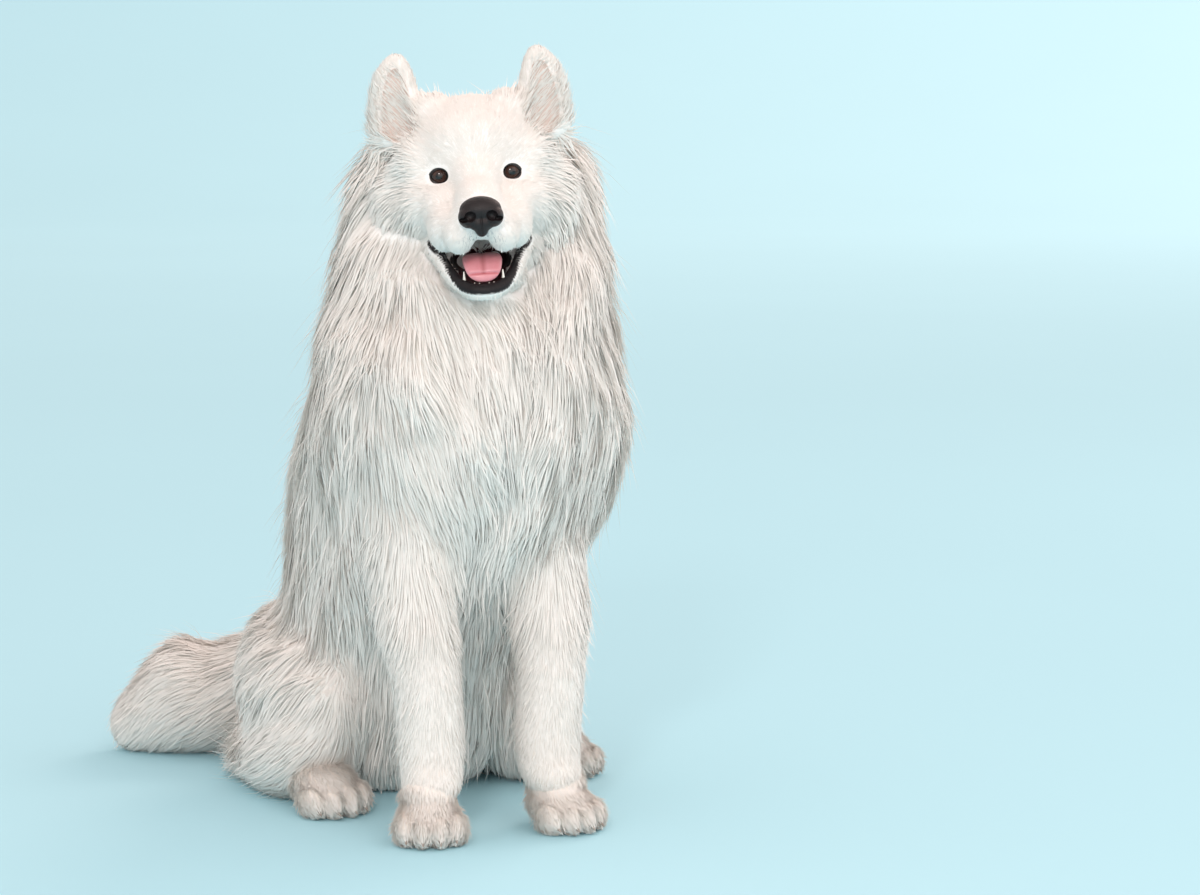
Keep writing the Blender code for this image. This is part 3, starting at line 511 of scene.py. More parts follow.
def new_mesh(name, points, faces):
    """An object from arrays: points, and faces of three or four corners, each kind in an array."""
    mesh = bpy.data.meshes.new(name)
    mesh.vertices.add(len(points))
    mesh.vertices.foreach_set("co", points.astype(np.float32).ravel())
    sizes = np.concatenate([np.full(len(kind), kind.shape[1]) for kind in faces])
    corners = np.concatenate([kind.ravel() for kind in faces])
    mesh.loops.add(len(corners))
    mesh.loops.foreach_set("vertex_index", corners.astype(np.int32))
    mesh.polygons.add(len(sizes))
    starts = np.concatenate([[0], np.cumsum(sizes)[:-1]])
    mesh.polygons.foreach_set("loop_start", starts.astype(np.int32))
    mesh.update(calc_edges=True)
    obj = bpy.data.objects.new(name, mesh)
    bpy.context.collection.objects.link(obj)
    return obj


# Materials

class Value:
    """A shader socket that takes part in Python expressions as Math nodes."""

    def __init__(self, shader, socket):
        self.shader = shader
        self.socket = socket

    def math(self, operation, *values, clamp=False):
        settings = {"operation": operation, "use_clamp": clamp}
        return self.shader.node("ShaderNodeMath", settings, values)

    def __add__(self, other):
        return self.math("ADD", self, other)

    __radd__ = __add__

    def __sub__(self, other):
        return self.math("SUBTRACT", self, other)

    def __rsub__(self, other):
        return self.math("SUBTRACT", other, self)

    def __mul__(self, other):
        return self.math("MULTIPLY", self, other)

    def clamped(self):
        return self.math("ADD", self, 0.0, clamp=True)

    def smooth(self, low, high):
        """0 below low and 1 above high, with a soft step between."""
        return self.shader.node("ShaderNodeMapRange", {"interpolation_type": "SMOOTHSTEP"},
                                [self, low, high, 0.0, 1.0])


class Shader:
    """A material made of nodes, with a Principled shader at its end."""

    def __init__(self, name, **constants):
        self.material = bpy.data.materials.new(name)
        self.material.use_nodes = True
        self.tree = self.material.node_tree
        self.end = self.tree.nodes["Principled BSDF"]
        for socket, value in constants.items():
            title = socket.replace("_", " ").title().replace("Ior", "IOR")
            self.end.inputs[title].default_value = value

    def node(self, kind, settings=None, inputs=(), output=0):
        """A node of that kind, its settings first and then its inputs, by place or by name."""
        node = self.tree.nodes.new(kind)
        for name, value in (settings or {}).items():
            setattr(node, name, value)
        pairs = inputs.items() if isinstance(inputs, dict) else enumerate(inputs)
        for key, value in pairs:
            if isinstance(value, Value):
                self.tree.links.new(value.socket, node.inputs[key])
            else:
                node.inputs[key].default_value = value
        return Value(self, node.outputs[output])

    def place(self):
        return self.node("ShaderNodeTexCoord", output="Object")

    def attribute(self, name):
        return self.node("ShaderNodeAttribute", {"attribute_name": name}, output="Fac")

    def axis(self, vector, name):
        return self.node("ShaderNodeSeparateXYZ", inputs=[vector], output=name)

    def noise(self, vector, scale, detail=3.0, roughness=0.55):
        return self.node("ShaderNodeTexNoise", inputs={"Vector": vector, "Scale": scale,
                                                       "Detail": detail, "Roughness": roughness})

    def cells(self, vector, scale):
        return self.node("ShaderNodeTexVoronoi", inputs={"Vector": vector, "Scale": scale})

    def mix(self, factor, one, two):
        node = self.tree.nodes.new("ShaderNodeMix")
        node.data_type = "RGBA"
        for socket, value in zip((node.inputs[0], node.inputs[6], node.inputs[7]), (factor, one, two)):
            if isinstance(value, Value):
                self.tree.links.new(value.socket, socket)
            else:
                socket.default_value = value if socket is node.inputs[0] else (*value, 1.0)
        return Value(self, node.outputs[2])

    def feed(self, socket, value):
        self.tree.links.new(value.socket, self.end.inputs[socket])

    def bump(self, height, distance, strength):
        made = self.node("ShaderNodeBump", inputs={"Height": height, "Distance": distance,
                                                   "Strength": strength})
        self.feed("Normal", made)


def coat_material():
    """White hair: creamier at its roots and in the hollows, where the cream is painted shade, sandy on
    the paws, grey by the nose.
    """
    look = bpy.context.scene.samoyed_coat
    white, cream, sand = (tuple(colour) for colour in (look.white, look.cream, look.sand))
    shader = Shader("coat", roughness=0.80, specular_ior_level=0.10, sheen_weight=0.12,
                    sheen_roughness=0.6)
    place = shader.place()
    height = shader.axis(place, "Z")
    strand, reach, warm, dusk = (shader.attribute(name) for name in ("strand", "reach", "warm", "dusk"))
    patches = shader.noise(place, 14.0)
    # Painted shade: cream at the tufts' roots deep in the coat, and through warm in the throat's folds,
    # on the chest and in the ear cups, where the ear cups' and the feet's own cream also come in
    root = (1 - reach.smooth(0.0, 0.6)) * 0.08
    tone = (root + warm * 0.7 + (patches - 0.5) * 0.4 + (strand - 0.5) * 0.24).clamped()
    colour = shader.mix(tone, white, cream)
    low = (1 - height.smooth(*SAND_TOP)) * SAND_SHARE
    colour = shader.mix(low.clamped(), colour, sand)
    colour = shader.mix(dusk, colour, tuple(look.dusk))
    shader.feed("Base Color", colour)
    return shader.material


def skin_material():
    """White under the coat, black on the lips, dark red within the mouth, pink in the ears."""
    look = bpy.context.scene.samoyed_coat
    shader = Shader("skin", specular_ior_level=0.25)
    place = shader.place()
    lips, mouth, ear = (shader.attribute(name) for name in ("lips", "mouth", "ear"))
    fine = shader.noise(place, 420.0, 4.0)
    broad = shader.noise(place, 60.0)
    pale = shader.mix(broad, PALE_SKIN, tuple(look.white))
    low = (1 - shader.axis(place, "Z").smooth(*SAND_TOP)) * SAND_SHARE
    pale = shader.mix(low, pale, tuple(look.sand))
    pale = shader.mix(shader.attribute("dusk"), pale, tuple(look.dusk))
    pink = shader.mix(fine, *TINTS["pink"])
    colour = shader.mix(ear, pale, pink)
    lining = shader.mix(broad, *TINTS["lining"])
    colour = shader.mix(mouth, colour, lining)
    black = shader.mix(fine, *TINTS["lip"])
    colour = shader.mix(lips, colour, black)
    shader.feed("Base Color", colour)
    shader.feed("Roughness", 0.62 - lips * 0.10 - mouth * 0.2)
    shader.bump(fine, 0.0004, 0.5)
    return shader.material


def nose_material():
    """Pebbled near-black leather, mottled a little browner."""
    shader = Shader("nose_leather", specular_ior_level=0.32)
    place = shader.place()
    pebbles = shader.cells(place, 900.0)
    broad = shader.noise(place, 90.0)
    shader.feed("Base Color", shader.mix(broad, *TINTS["leather"]))
    shader.feed("Roughness", 0.30 + pebbles * 0.25)
    shader.bump(pebbles, 0.00030, 0.7)
    return shader.material


def eye_material():
    """A dark brown iris with fibres round a black pupil, under a clear wet coat."""
    shader = Shader("wet_eye", roughness=0.06, specular_ior_level=0.45, coat_weight=0.3,
                    coat_roughness=0.03)
    ring = shader.attribute("ring")
    fibre = shader.noise(shader.place(), 1500.0, 5.0)
    iris = shader.mix(fibre, *TINTS["iris"])
    colour = shader.mix(ring.smooth(0.22, 0.36), PUPIL, iris)
    colour = shader.mix(ring.smooth(0.56, 0.72), colour, IRIS_EDGE)
    colour = shader.mix(ring.smooth(0.92, 1.00), colour, EYE_WHITE)
    shader.feed("Base Color", colour)
    return shader.material


def tongue_material():
    """Wet pink flesh with fine papillae, with painted shade in darker red down its groove."""
    shader = Shader("tongue_flesh", specular_ior_level=0.6, coat_weight=0.35, coat_roughness=0.2)
    place = shader.place()
    papillae = shader.cells(place, 1300.0)
    broad = shader.noise(place, 70.0)
    colour = shader.mix(broad, *TINTS["tongue"])
    colour = shader.mix(shader.attribute("groove"), colour, GROOVE_SHADE)
    shader.feed("Base Color", colour)
    shader.feed("Roughness", 0.30 + broad * 0.18)
    shader.bump(papillae, 0.00025, 0.6)
    return shader.material


def mottled_material(name, tint, scale, detail=3.0, relief=None, **constants):
    """A material mottled between a tint's two colours, with a relief of the same pattern."""
    shader = Shader(name, **constants)
    pattern = shader.noise(shader.place(), scale, detail)
    shader.feed("Base Color", shader.mix(pattern, *TINTS[tint]))
    if relief:
        shader.bump(pattern, relief, 0.5)
    return shader.material


# The skin

def part_forms(share):
    """Every part of the body with this share of its coat, as ellipsoids in the dog's frame."""
    forms = {"torso": between(under_coat(TRUNK, share), TRUNK_STEP),
             "neck": between(under_coat(NECK, share), TRUNK_STEP),
             "tail": between(under_coat(TAIL, share), TAIL_STEP)}
    for side in SIDES:
        forms[f"foreleg_{side}"] = between(under_coat(FORELEG[side], share), LEG_STEP)
        forms[f"hindleg_{side}"] = between(under_coat(HINDLEG[side], share), LEG_STEP)
    return forms


def all_forms(parts):
    return [form for forms in parts.values() for form in forms]


def paw_forms(name):
    """A paw's ellipsoids in its own frame, with a fore paw's instep that carries it into the leg."""
    forms = [(Vector(PAW_PAD[0]), Vector(PAW_PAD[1]))]
    if name.startswith("forepaw"):
        forms.append((Vector(INSTEP[0]), Vector(INSTEP[1])))
    for toe_x, reach in zip(TOE_PLACES, TOE_REACH):
        forms.append((Vector((toe_x, TOE_BASE - reach, TOE_RISE)), Vector(TOE_HALF)))
    return thinner(forms, PAW_COAT)


def floor_cut(obj):
    """Leaves obj a flat underside at the floor."""
    select()
    bpy.ops.mesh.primitive_cube_add(size=2.0, location=(0, 0, -1.0))
    return boolean(obj, bpy.context.object, "DIFFERENCE")


def softened(obj, share, iterations):
    """Smooths obj most where share is 1 and not at all where it is 0."""
    group = obj.vertex_groups.new(name="soft")
    for level in range(1, SOFT_LEVELS + 1):
        rows = np.where(np.ceil(share * SOFT_LEVELS - 0.5) == level)[0]
        if len(rows):
            group.add(rows.tolist(), level / SOFT_LEVELS, "REPLACE")
    return apply_modifier(obj, "SMOOTH", factor=0.5, iterations=iterations, vertex_group="soft")


def make_head_skin():
    """The bare head in the dog's frame, its face smoothed, its mouth, ear cups and sockets cut."""
    forms = thinner(twins(HEAD), FACE_COAT)
    for side in SIDES.values():
        forms += thinner(between(mirrored(EAR, side), EAR_STEP), EAR_COAT)
    forms += thinner(twins(JAW_FLOOR), JAW_COAT) + thinner(jaw_rim(), RIM_COAT)
    head = wrapped(balls("head_skin", forms), *GRAIN["head"])
    x, y, z = points_of(head.data).T
    soft = step(z, -0.056, -0.040) * (1 - step(z, 0.056, 0.068))
    soft *= 1 - step(np.abs(x), 0.048, 0.060) * step(z, 0.012, 0.026)
    softened(head, soft, FACE_ROUNDS)
    boolean(head, wrapped(balls("mouth_cut", twins(MOUTH)), *GRAIN["cut"]), "DIFFERENCE")
    for side in SIDES.values():
        boolean(head, wrapped(balls("cup_cut", ear_cup(side)), *GRAIN["cut"]), "DIFFERENCE")
        centre = eye_centre(side) + Vector((0, -SOCKET_OUT, 0))
        boolean(head, balls("socket_cut", [(centre, Vector(SOCKET))], 4), "DIFFERENCE")
    head.data.transform(head_place())
    return head


def unwrapped(obj):
    """Gives obj triangles, and an unwrap of its own shape for the coat."""
    select(obj)
    bpy.ops.object.mode_set(mode="EDIT")
    bpy.ops.mesh.select_all(action="SELECT")
    bpy.ops.mesh.quads_convert_to_tris()
    bpy.ops.uv.smart_project(angle_limit=math.radians(66), island_margin=0.001)
    bpy.ops.object.mode_set(mode="OBJECT")
    obj.data.uv_layers[0].name = "OFBake"
    return obj


def make_skin():
    """One skin for the whole dog: the body's with the paws and the head joined to it."""
    body = wrapped(balls("skin", all_forms(part_forms(CORE_SHARE))), *GRAIN["body"])
    for name in PAWS:
        paw = wrapped(balls(name, paw_forms(name)), *GRAIN["paw"])
        paw.data.transform(paw_place(name))
        boolean(body, paw, "UNION")
    boolean(body, make_head_skin(), "UNION")
    return unwrapped(floor_cut(body))


def make_wool():
    """The undercoat: a soft closed shell that the long hair grows from."""
    wool = wrapped(balls("wool", all_forms(part_forms(WOOL_SHARE))), *GRAIN["wool"])
    _, y, z = points_of(wool.data).T
    leg_tops = step(z, 0.20, 0.25) * (1 - step(z, 0.33, 0.38)) * step(-y, 0.10, 0.16)
    softened(wool, leg_tops, LEG_TOP_ROUNDS)
    return unwrapped(floor_cut(fluffed(wool)))


def points_of(mesh):
    points = np.empty(len(mesh.vertices) * 3, np.float32)
    mesh.vertices.foreach_get("co", points)
    return points.reshape(-1, 3).astype(float)


def normals_of(mesh):
    normals = np.empty(len(mesh.vertices) * 3, np.float32)
    mesh.vertex_normals.foreach_get("vector", normals)
    return normals.reshape(-1, 3).astype(float)


def move_points(mesh, points):
    mesh.vertices.foreach_set("co", points.astype(np.float32).ravel())
    mesh.update()


def on_head(points):
    """Points in the head's own frame."""
    back = np.array(head_place().inverted())
    return points @ back[:3, :3].T + back[:3, 3]


def nearness(points, forms):
    """How far in or out of the nearest ellipsoid each point is: 1 is its surface."""
    best = np.full(len(points), np.inf)
    for centre, half in forms:
        away = np.linalg.norm((points - np.array(centre)) / np.array(half), axis=1)
        best = np.minimum(best, away)
    return best


def nearest_on(path, points):
    """For each point the number of the path's nearest place, and the distance to it."""
    away = np.linalg.norm(points[:, None] - path[None], axis=2)
    near = away.argmin(1)
    return near, away[np.arange(len(points)), near]


def step(values, low, high):
    """0 below low and 1 above high, with a soft step between."""
    t = np.clip((values - low) / (high - low), 0, 1)
    return t * t * (3 - 2 * t)


def blend(one, two, share):
    return one * (1 - share) + two * share


def lip_path():
    """Places along the edge of the upper lip, from one corner of the mouth to the other."""
    rows = [(place, (0, 0, 0)) for place in UPPER_LIP]
    rows = [*rows[:0:-1], *[((-x, y, z), half) for (x, y, z), half in rows]]
    return centres_of(between(rows, LIP_STEP))


def face_masks(points):
    """Where the head is lip, mouth lining and ear cup: three arrays from 0 to 1."""
    local = on_head(points)
    lips, mouth, ear = (np.zeros(len(points)) for _ in range(3))
    close = np.where(np.abs(local[:, 2]) < FACE_REACH)[0]
    spot = local[close]
    across = np.abs(spot[:, 0])
    rim = centres_of(jaw_rim())
    near, rim_away = nearest_on(rim, spot)
    wide = np.abs(rim[near, 0])
    low = -0.0040 + 0.0080 * step(wide, 0.014, 0.036)
    reach = 0.0108 + 0.0014 * step(wide, 0.028, 0.043)
    upper = step(spot[:, 2] - rim[near, 2] - low, 0.0, 0.0018)
    on_rim = (1 - step(rim_away - reach, -0.0010, 0.0)) * upper
    lip_away = nearest_on(lip_path(), spot)[1]
    philtrum = 0.0050 * (1 - step(across, 0.006, 0.016))
    on_lip = 1 - step(lip_away - philtrum, 0.0020, 0.0034)
    inside = 1 - step(nearness(spot, twins(MOUTH)), 1.06, 1.16)
    mouth[close] = inside
    lips[close] = np.maximum(np.maximum(on_rim, on_lip), inside * step(across, 0.018, 0.024))
    for side in SIDES.values():
        cup = nearness(spot, ear_cup(side))
        ear[close] = np.maximum(ear[close], 1 - step(cup, 0.90, 1.10))
    return lips, mouth, ear


def set_attribute(mesh, name, values):
    layer = mesh.attributes.new(name, "FLOAT", "POINT")
    layer.data.foreach_set("value", values.astype(np.float32))


# The coat

class Ground:
    """A surface as arrays, which tufts are set on."""

    def __init__(self, obj):
        mesh = obj.data
        mesh.calc_loop_triangles()
        count = len(mesh.loop_triangles)
        corners, loops = np.empty(count * 3, np.int32), np.empty(count * 3, np.int32)
        mesh.loop_triangles.foreach_get("vertices", corners)
        mesh.loop_triangles.foreach_get("loops", loops)
        points = points_of(mesh)
        flat = np.empty(len(mesh.loops) * 2, np.float32)
        mesh.uv_layers["OFBake"].uv.foreach_get("vector", flat)
        corners = corners.reshape(-1, 3)
        self.points = points[corners]
        self.normals = normals_of(mesh)[corners]
        self.flat = flat.reshape(-1, 2)[loops.reshape(-1, 3)]
        one, two, three = self.points.transpose(1, 0, 2)
        self.areas = np.linalg.norm(np.cross(two - one, three - one), axis=1) / 2
        self.middles = self.points.mean(1)
        self.tree = BVHTree.FromPolygons(points.tolist(), corners.tolist())

    def scatter(self, density, count, draw):
        """Random places, normals and map places, as dense as density says for each triangle."""
        total = np.cumsum(self.areas * density)
        which = np.searchsorted(total, draw.random(count) * total[-1])
        which = np.minimum(which, len(total) - 1)
        one, two = np.sqrt(draw.random(count)), draw.random(count)
        share = np.stack([1 - one, one * (1 - two), one * two], 1)[:, :, None]
        normals = unit((self.normals[which] * share).sum(1))
        return (self.points[which] * share).sum(1), normals, (self.flat[which] * share).sum(1)

    def settled(self, points, low, high):
        """The points moved straight out or in to between two heights over the surface."""
        moved = np.empty_like(points)
        for i, point in enumerate(points):
            near, normal = self.tree.find_nearest(point)[:2]
            height = (Vector(point) - near).dot(normal)
            moved[i] = point + np.array(normal) * (min(max(height, low[i]), high[i]) - height)
        return moved


def unit(vectors):
    """The vectors at length 1, and none for a vector of no length."""
    return vectors / np.maximum(np.linalg.norm(vectors, axis=-1, keepdims=True), 1e-9)


def ripple(points, scale, seed):
    """A smooth random vector at each point, from waves about so long."""
    draw = np.random.default_rng(seed)
    total = np.zeros((len(points), 3))
    for _ in range(5):
        wave = unit(draw.normal(size=3)) * math.tau / scale * draw.uniform(0.7, 1.5)
        total += np.sin(points @ wave + draw.uniform(0, math.tau))[:, None] * draw.normal(size=3)
    return total / 2.2


def all_parts(share):
    """Each part's ellipsoids in the dog's frame, for finding which part a place belongs to."""
    place = head_place()
    parts = part_forms(share)
    head = thinner(twins(HEAD), FACE_COAT) + twins(JAW_FLOOR) + jaw_rim()
    parts["head"] = [(place @ centre, half) for centre, half in head]
    for name, side in SIDES.items():
        rows = between(mirrored(EAR, side), EAR_PART_STEP)
        parts[f"ear_{name}"] = [(place @ centre, half) for centre, half in rows[2:]]
    for name in PAWS:
        here = paw_place(name)
        parts[name] = [(here @ centre, half) for centre, half in paw_forms(name)]
    return parts


def distances(points, parts):
    """How near each point is to every part, a row for each part."""
    return np.stack([nearness(points, forms) for forms in parts.values()])


def kind_of(name):
    for kind in SUB_COATS:
        if name.startswith(kind):
            return kind
    return "paw"


def trunk_lie(points, forms, swing):
    """Down the body and outwards, and in front towards the middle of the chest."""
    axis = centres_of(forms)
    near = np.abs(points[:, 2:3] - axis[None, :, 2]).argmin(1)
    out = points - axis[near]
    out[:, 2] = 0
    wide = out[:, 0] / CHEST_HALF
    part = np.clip(np.abs(wide), 0, 1)
    front = step(-out[:, 1], 0.02, 0.09) * step(points[:, 2], 0.24, 0.34)
    lie = DOWN + unit(out) * swing + np.array([0.0, 0.10, 0.0])
    lie[:, 0] += -np.sign(wide) * part * (1 - part) * 1.9 * front
    return lie


def tail_lie(points, forms):
    """Along the tail to its tip, down and outwards."""
    path = centres_of(forms)
    near = nearest_on(path, points)[0]
    along = unit(np.gradient(path, axis=0))
    return along[near] + DOWN * 0.30 + unit(points - path[near]) * 0.25


def head_lie(points):
    """Back from the nose, down on the cheeks, and away from the eyes."""
    local = on_head(points)
    away = unit(local - np.array([0.0, -0.098, -0.026]))
    wide = step(np.abs(local[:, 0]), 0.040, 0.085)
    low = step(-local[:, 2], 0.00, 0.06)
    away[:, 2] -= 0.95 * wide + 0.55 * low
    away[:, 1] += 0.10
    for side in SIDES.values():
        gap = from_eye(local, side)
        far = np.linalg.norm(gap, axis=1, keepdims=True)
        away += 1.3 * unit(gap) * (1 - step(far, 0.012, 0.030))
    return unit(away) @ head_turn().T


def lie_of(name, points, forms):
    """The way the coat lies on a part, before it is laid along the skin."""
    if name in ("torso", "neck"):
        return trunk_lie(points, forms, 0.26 if name == "neck" else 0.10)
    if name == "tail":
        return tail_lie(points, forms)
    if name == "head":
        return head_lie(points)
    if name.startswith("ear"):
        return head_turn() @ np.array([0.0, 0.05, 1.0])
    if name.startswith("foreleg"):
        return DOWN + np.array([0.0, 0.30, 0.0])
    if name.startswith("hindleg"):
        side = 1 if name.endswith("left") else -1
        fan = (1 - step(points[:, 2], 0.05, 0.12))[:, None]
        return blend(np.array([0.22 * side, 0.65, -0.72]), np.array([0.75 * side, 0.60, -0.42]), fan)
    forward = np.array(paw_place(name))[:3, 1] * -1.0
    return forward + DOWN * 0.75


def fit_ears(points, lie, sizes):
    """Long hairs across the ear cups from their inner edges, and a fringe on the ears' outer bases."""
    local = on_head(points)
    for side in SIDES.values():
        out = local[:, 0] * side
        near = nearness(local, ear_cup(side))
        edge = (1 - step(out, 0.054, 0.064)) * (1 - step(local[:, 1], 0.038, 0.048))
        inner = (1 - step(near, 1.15, 1.45)) * edge
        within = (1 - step(near, 1.00, 1.25)) * (1 - inner)
        way = head_turn() @ np.array([0.75 * side, -0.25, 0.75])
        for part, values in ((inner, EAR_EDGE_COAT), (within, EAR_CUP_COAT)):
            lie = blend(lie, way, part[:, None])
            for k, value in enumerate(values):
                sizes[:, k] = blend(sizes[:, k], value, part)
        fringe = step(out, 0.070, 0.084) * step(local[:, 2], 0.000, 0.030)
        fringe *= 1 - step(local[:, 2], 0.080, 0.100)
        sizes[:, 0] += 0.007 * fringe
        sizes[:, 2] += 0.10 * fringe
    return lie


def coat_fields(points, normals, share):
    """For each place: the coat's lie along the surface, length, width, rise and gathering."""
    parts = all_parts(share)
    far = distances(points, parts)
    weight = np.exp(-PART_BLEND * (far - far.min(0)))
    weight /= weight.sum(0)
    belongs = dict(zip(parts, weight))
    lie = np.zeros((len(points), 3))
    sizes = np.zeros((len(points), 4))
    for name, part in belongs.items():
        way = np.broadcast_to(lie_of(name, points, parts[name]), points.shape)
        lie += unit(way) * part[:, None]
        sizes += np.array(SUB_COATS[kind_of(name)]) * part[:, None]
    fit_face(points, sizes, belongs["head"])
    fit_limbs(points, normals, sizes, belongs)
    agree = step(np.linalg.norm(lie, axis=1), 0.15, 0.80)
    sizes[:, 0] *= 0.55 + 0.45 * agree
    long = step(sizes[:, 0], 0.012, 0.05)[:, None]
    broad, fine = ripple(points, *RIPPLES["broad"]), ripple(points, *RIPPLES["fine"])
    lie = lie + broad * 0.12 * long + fine * (0.03 + 0.06 * long)
    lie = fit_ears(points, lie, sizes)
    return unit(lie - normals * (lie * normals).sum(1, keepdims=True)), sizes


def fit_face(points, sizes, share):
    """Shorter and finer towards the nose and the eyes, longer on cheeks, jowls and crown."""
    local = on_head(points)
    across, drop = np.abs(local[:, 0]), -local[:, 2]
    back = step(local[:, 1], -0.050, 0.055)
    wide = step(across, 0.034, 0.085)
    length = 0.0060 + 0.009 * back + 0.034 * wide * back
    length += 0.012 * step(drop, 0.075, 0.105) * back
    length += 0.016 * step(drop, 0.02, 0.07) * step(across, 0.045, 0.075)
    length += 0.010 * step(local[:, 2], 0.050, 0.075) * step(across, 0.018, 0.036)
    for side in SIDES.values():
        away = np.linalg.norm(from_eye(local, side), axis=1)
        length *= 0.42 + 0.58 * step(away, 0.012, 0.034)
    sizes[:, 0] = blend(sizes[:, 0], length, share)
    sizes[:, 1] = blend(sizes[:, 1], 0.00066 + 0.020 * length, share)
    sizes[:, 2] = blend(sizes[:, 2], 0.13 + 0.07 * wide, share)


def fit_limbs(points, normals, sizes, belongs):
    """Feathers behind the fore legs, the chest's coat over their tops, short hair above the paws,
    a fan low on the haunches and a short end to the tail."""
    for side in SIDES:
        share = belongs[f"foreleg_{side}"]
        behind = share * step(normals[:, 1], 0.1, 0.8)
        sizes[:, 0] += 0.022 * behind
        top = (share * step(points[:, 2], 0.16, 0.27))[:, None]
        sizes[:] = blend(sizes, np.array(SUB_COATS["torso"]), top)
        ankle = share * (1 - step(points[:, 2], 0.045, 0.10))
        sizes[:, 0] *= 1 - 0.45 * ankle
        sizes[:, 2] *= 1 - 0.35 * ankle
        fan = belongs[f"hindleg_{side}"] * (1 - step(points[:, 2], 0.05, 0.12))
        fan *= step(points[:, 1], -0.04, 0.04)
        sizes[:, 0] += 0.026 * fan
        sizes[:, 2] += 0.08 * fan
    end = belongs["tail"] * step(-points[:, 0], 0.150, 0.215)
    sizes[:, 0] *= 1 - 0.45 * end


def bare(points):
    """1 where no coat grows: eyes, nose, lips and mouth. The ear cups come beside it."""
    local = on_head(points)
    lips, mouth, ear = face_masks(points)
    cover = np.maximum(lips, mouth)
    for side in SIDES.values():
        gap = from_eye(local, side)
        ring = np.hypot(gap[:, 0] / (LID_HALF_WIDTH + LID_CLEAR[0]),
                        gap[:, 2] / (LID_HALF_HEIGHT + LID_CLEAR[1]))
        cover = np.maximum(cover, (1 - step(ring, 1.0, 1.06)) * (gap[:, 1] < 0.01))
    nose = nearness(local, thinner(twins(NOSE), -0.0006))
    cover = np.maximum(cover, 1 - step(nose, 1.0, 1.02))
    return np.clip(cover, 0, 1), ear


def fluffed(wool):
    """Swells the undercoat in soft lumps, and in two tiers on the chest."""
    points, normals = points_of(wool.data), normals_of(wool.data)
    parts = part_forms(WOOL_SHARE)
    forelegs = [k for k, name in enumerate(parts) if name.startswith("foreleg")]
    long = 1.0 - np.isin(distances(points, parts).argmin(0), forelegs)
    long = long * step(points[:, 2], 0.05, 0.12)
    broad, small = (ripple(points, *RIPPLES[name])[:, 0] for name in ("lumps", "small_lumps"))
    lumps = broad * FLUFF + small * FLUFF * 0.5
    front = step(-normals[:, 1], -0.2, 0.5) * step(points[:, 2], 0.25, 0.32)
    swell = np.zeros(len(points))
    for middle, rise, proud in TIERS:
        edge = middle + rise * np.clip(np.abs(points[:, 0] - 0.02) / 0.14, 0, 1.2) ** 1.6
        above = points[:, 2] - edge
        swell += proud * step(above, -0.012, 0.010) * (1 - step(above, 0.015, 0.085)) * front
    move_points(wool.data, points + normals * ((lumps + swell) * long)[:, None])
    return wool


def grow(ground, density, count, seed, share):
    """Roots, and the points of each tuft's middle line, which bends down along the surface."""
    draw = np.random.default_rng(seed)
    roots, normals, flat = ground.scatter(density, count, draw)
    lie, sizes = coat_fields(roots, normals, share)
    length, width, rise, gather = sizes.T
    length = length * draw.uniform(0.70, 1.15, count)
    loose = draw.random(count) < FLYAWAY
    rise = rise * draw.uniform(0.5, 1.35, count) + np.where(loose, draw.uniform(0.10, 0.35, count), 0.0)
    width = width * np.where(loose, 0.55, 1.0) * draw.uniform(0.75, 1.2, count)
    heavy = step(length, 0.015, 0.06)[:, None]
    curl = unit(draw.normal(size=(count, 3)))
    root = roots - normals * np.minimum(0.0014, length * 0.06)[:, None]
    way = unit(lie * (1 - rise)[:, None] + normals * rise[:, None])
    middle = root + way * (length * 0.5)[:, None]
    onward = unit(way + lie * 0.30 + DOWN * 0.22 * heavy + curl * 0.08)
    line = np.stack([root, middle, middle + onward * (length * 0.5)[:, None]], 1)
    line = gathered(line, roots, gather, seed)
    stand = length * rise
    for k in (1, 2):
        part = stand * LINE_SHARES[k]
        line[:, k] = ground.settled(line[:, k], part * 0.55, part * 1.15 + 0.0008)
    line[:, :, 2] = np.maximum(line[:, :, 2], COAT_CLEAR)
    return line, normals, flat, width, draw


def gathered(line, roots, gather, seed):
    """Draws the tufts' ends towards one tuft in each neighbourhood, so that they form locks."""
    count = len(line)
    leaders = np.random.default_rng(seed + 50).choice(count, max(1, count // LOCK_TUFTS), replace=False)
    tree = KDTree(len(leaders))
    for k, i in enumerate(leaders):
        tree.insert(roots[i], k)
    tree.balance()
    nearest = leaders[np.array([tree.find(root)[1] for root in roots])]
    lead = line[nearest] - roots[nearest][:, None] + roots[:, None]
    to = line[nearest] * 0.75 + lead * 0.25
    pull = gather[:, None] * LINE_SHARES[None] ** 1.5
    return line + (to - line) * pull[:, :, None]


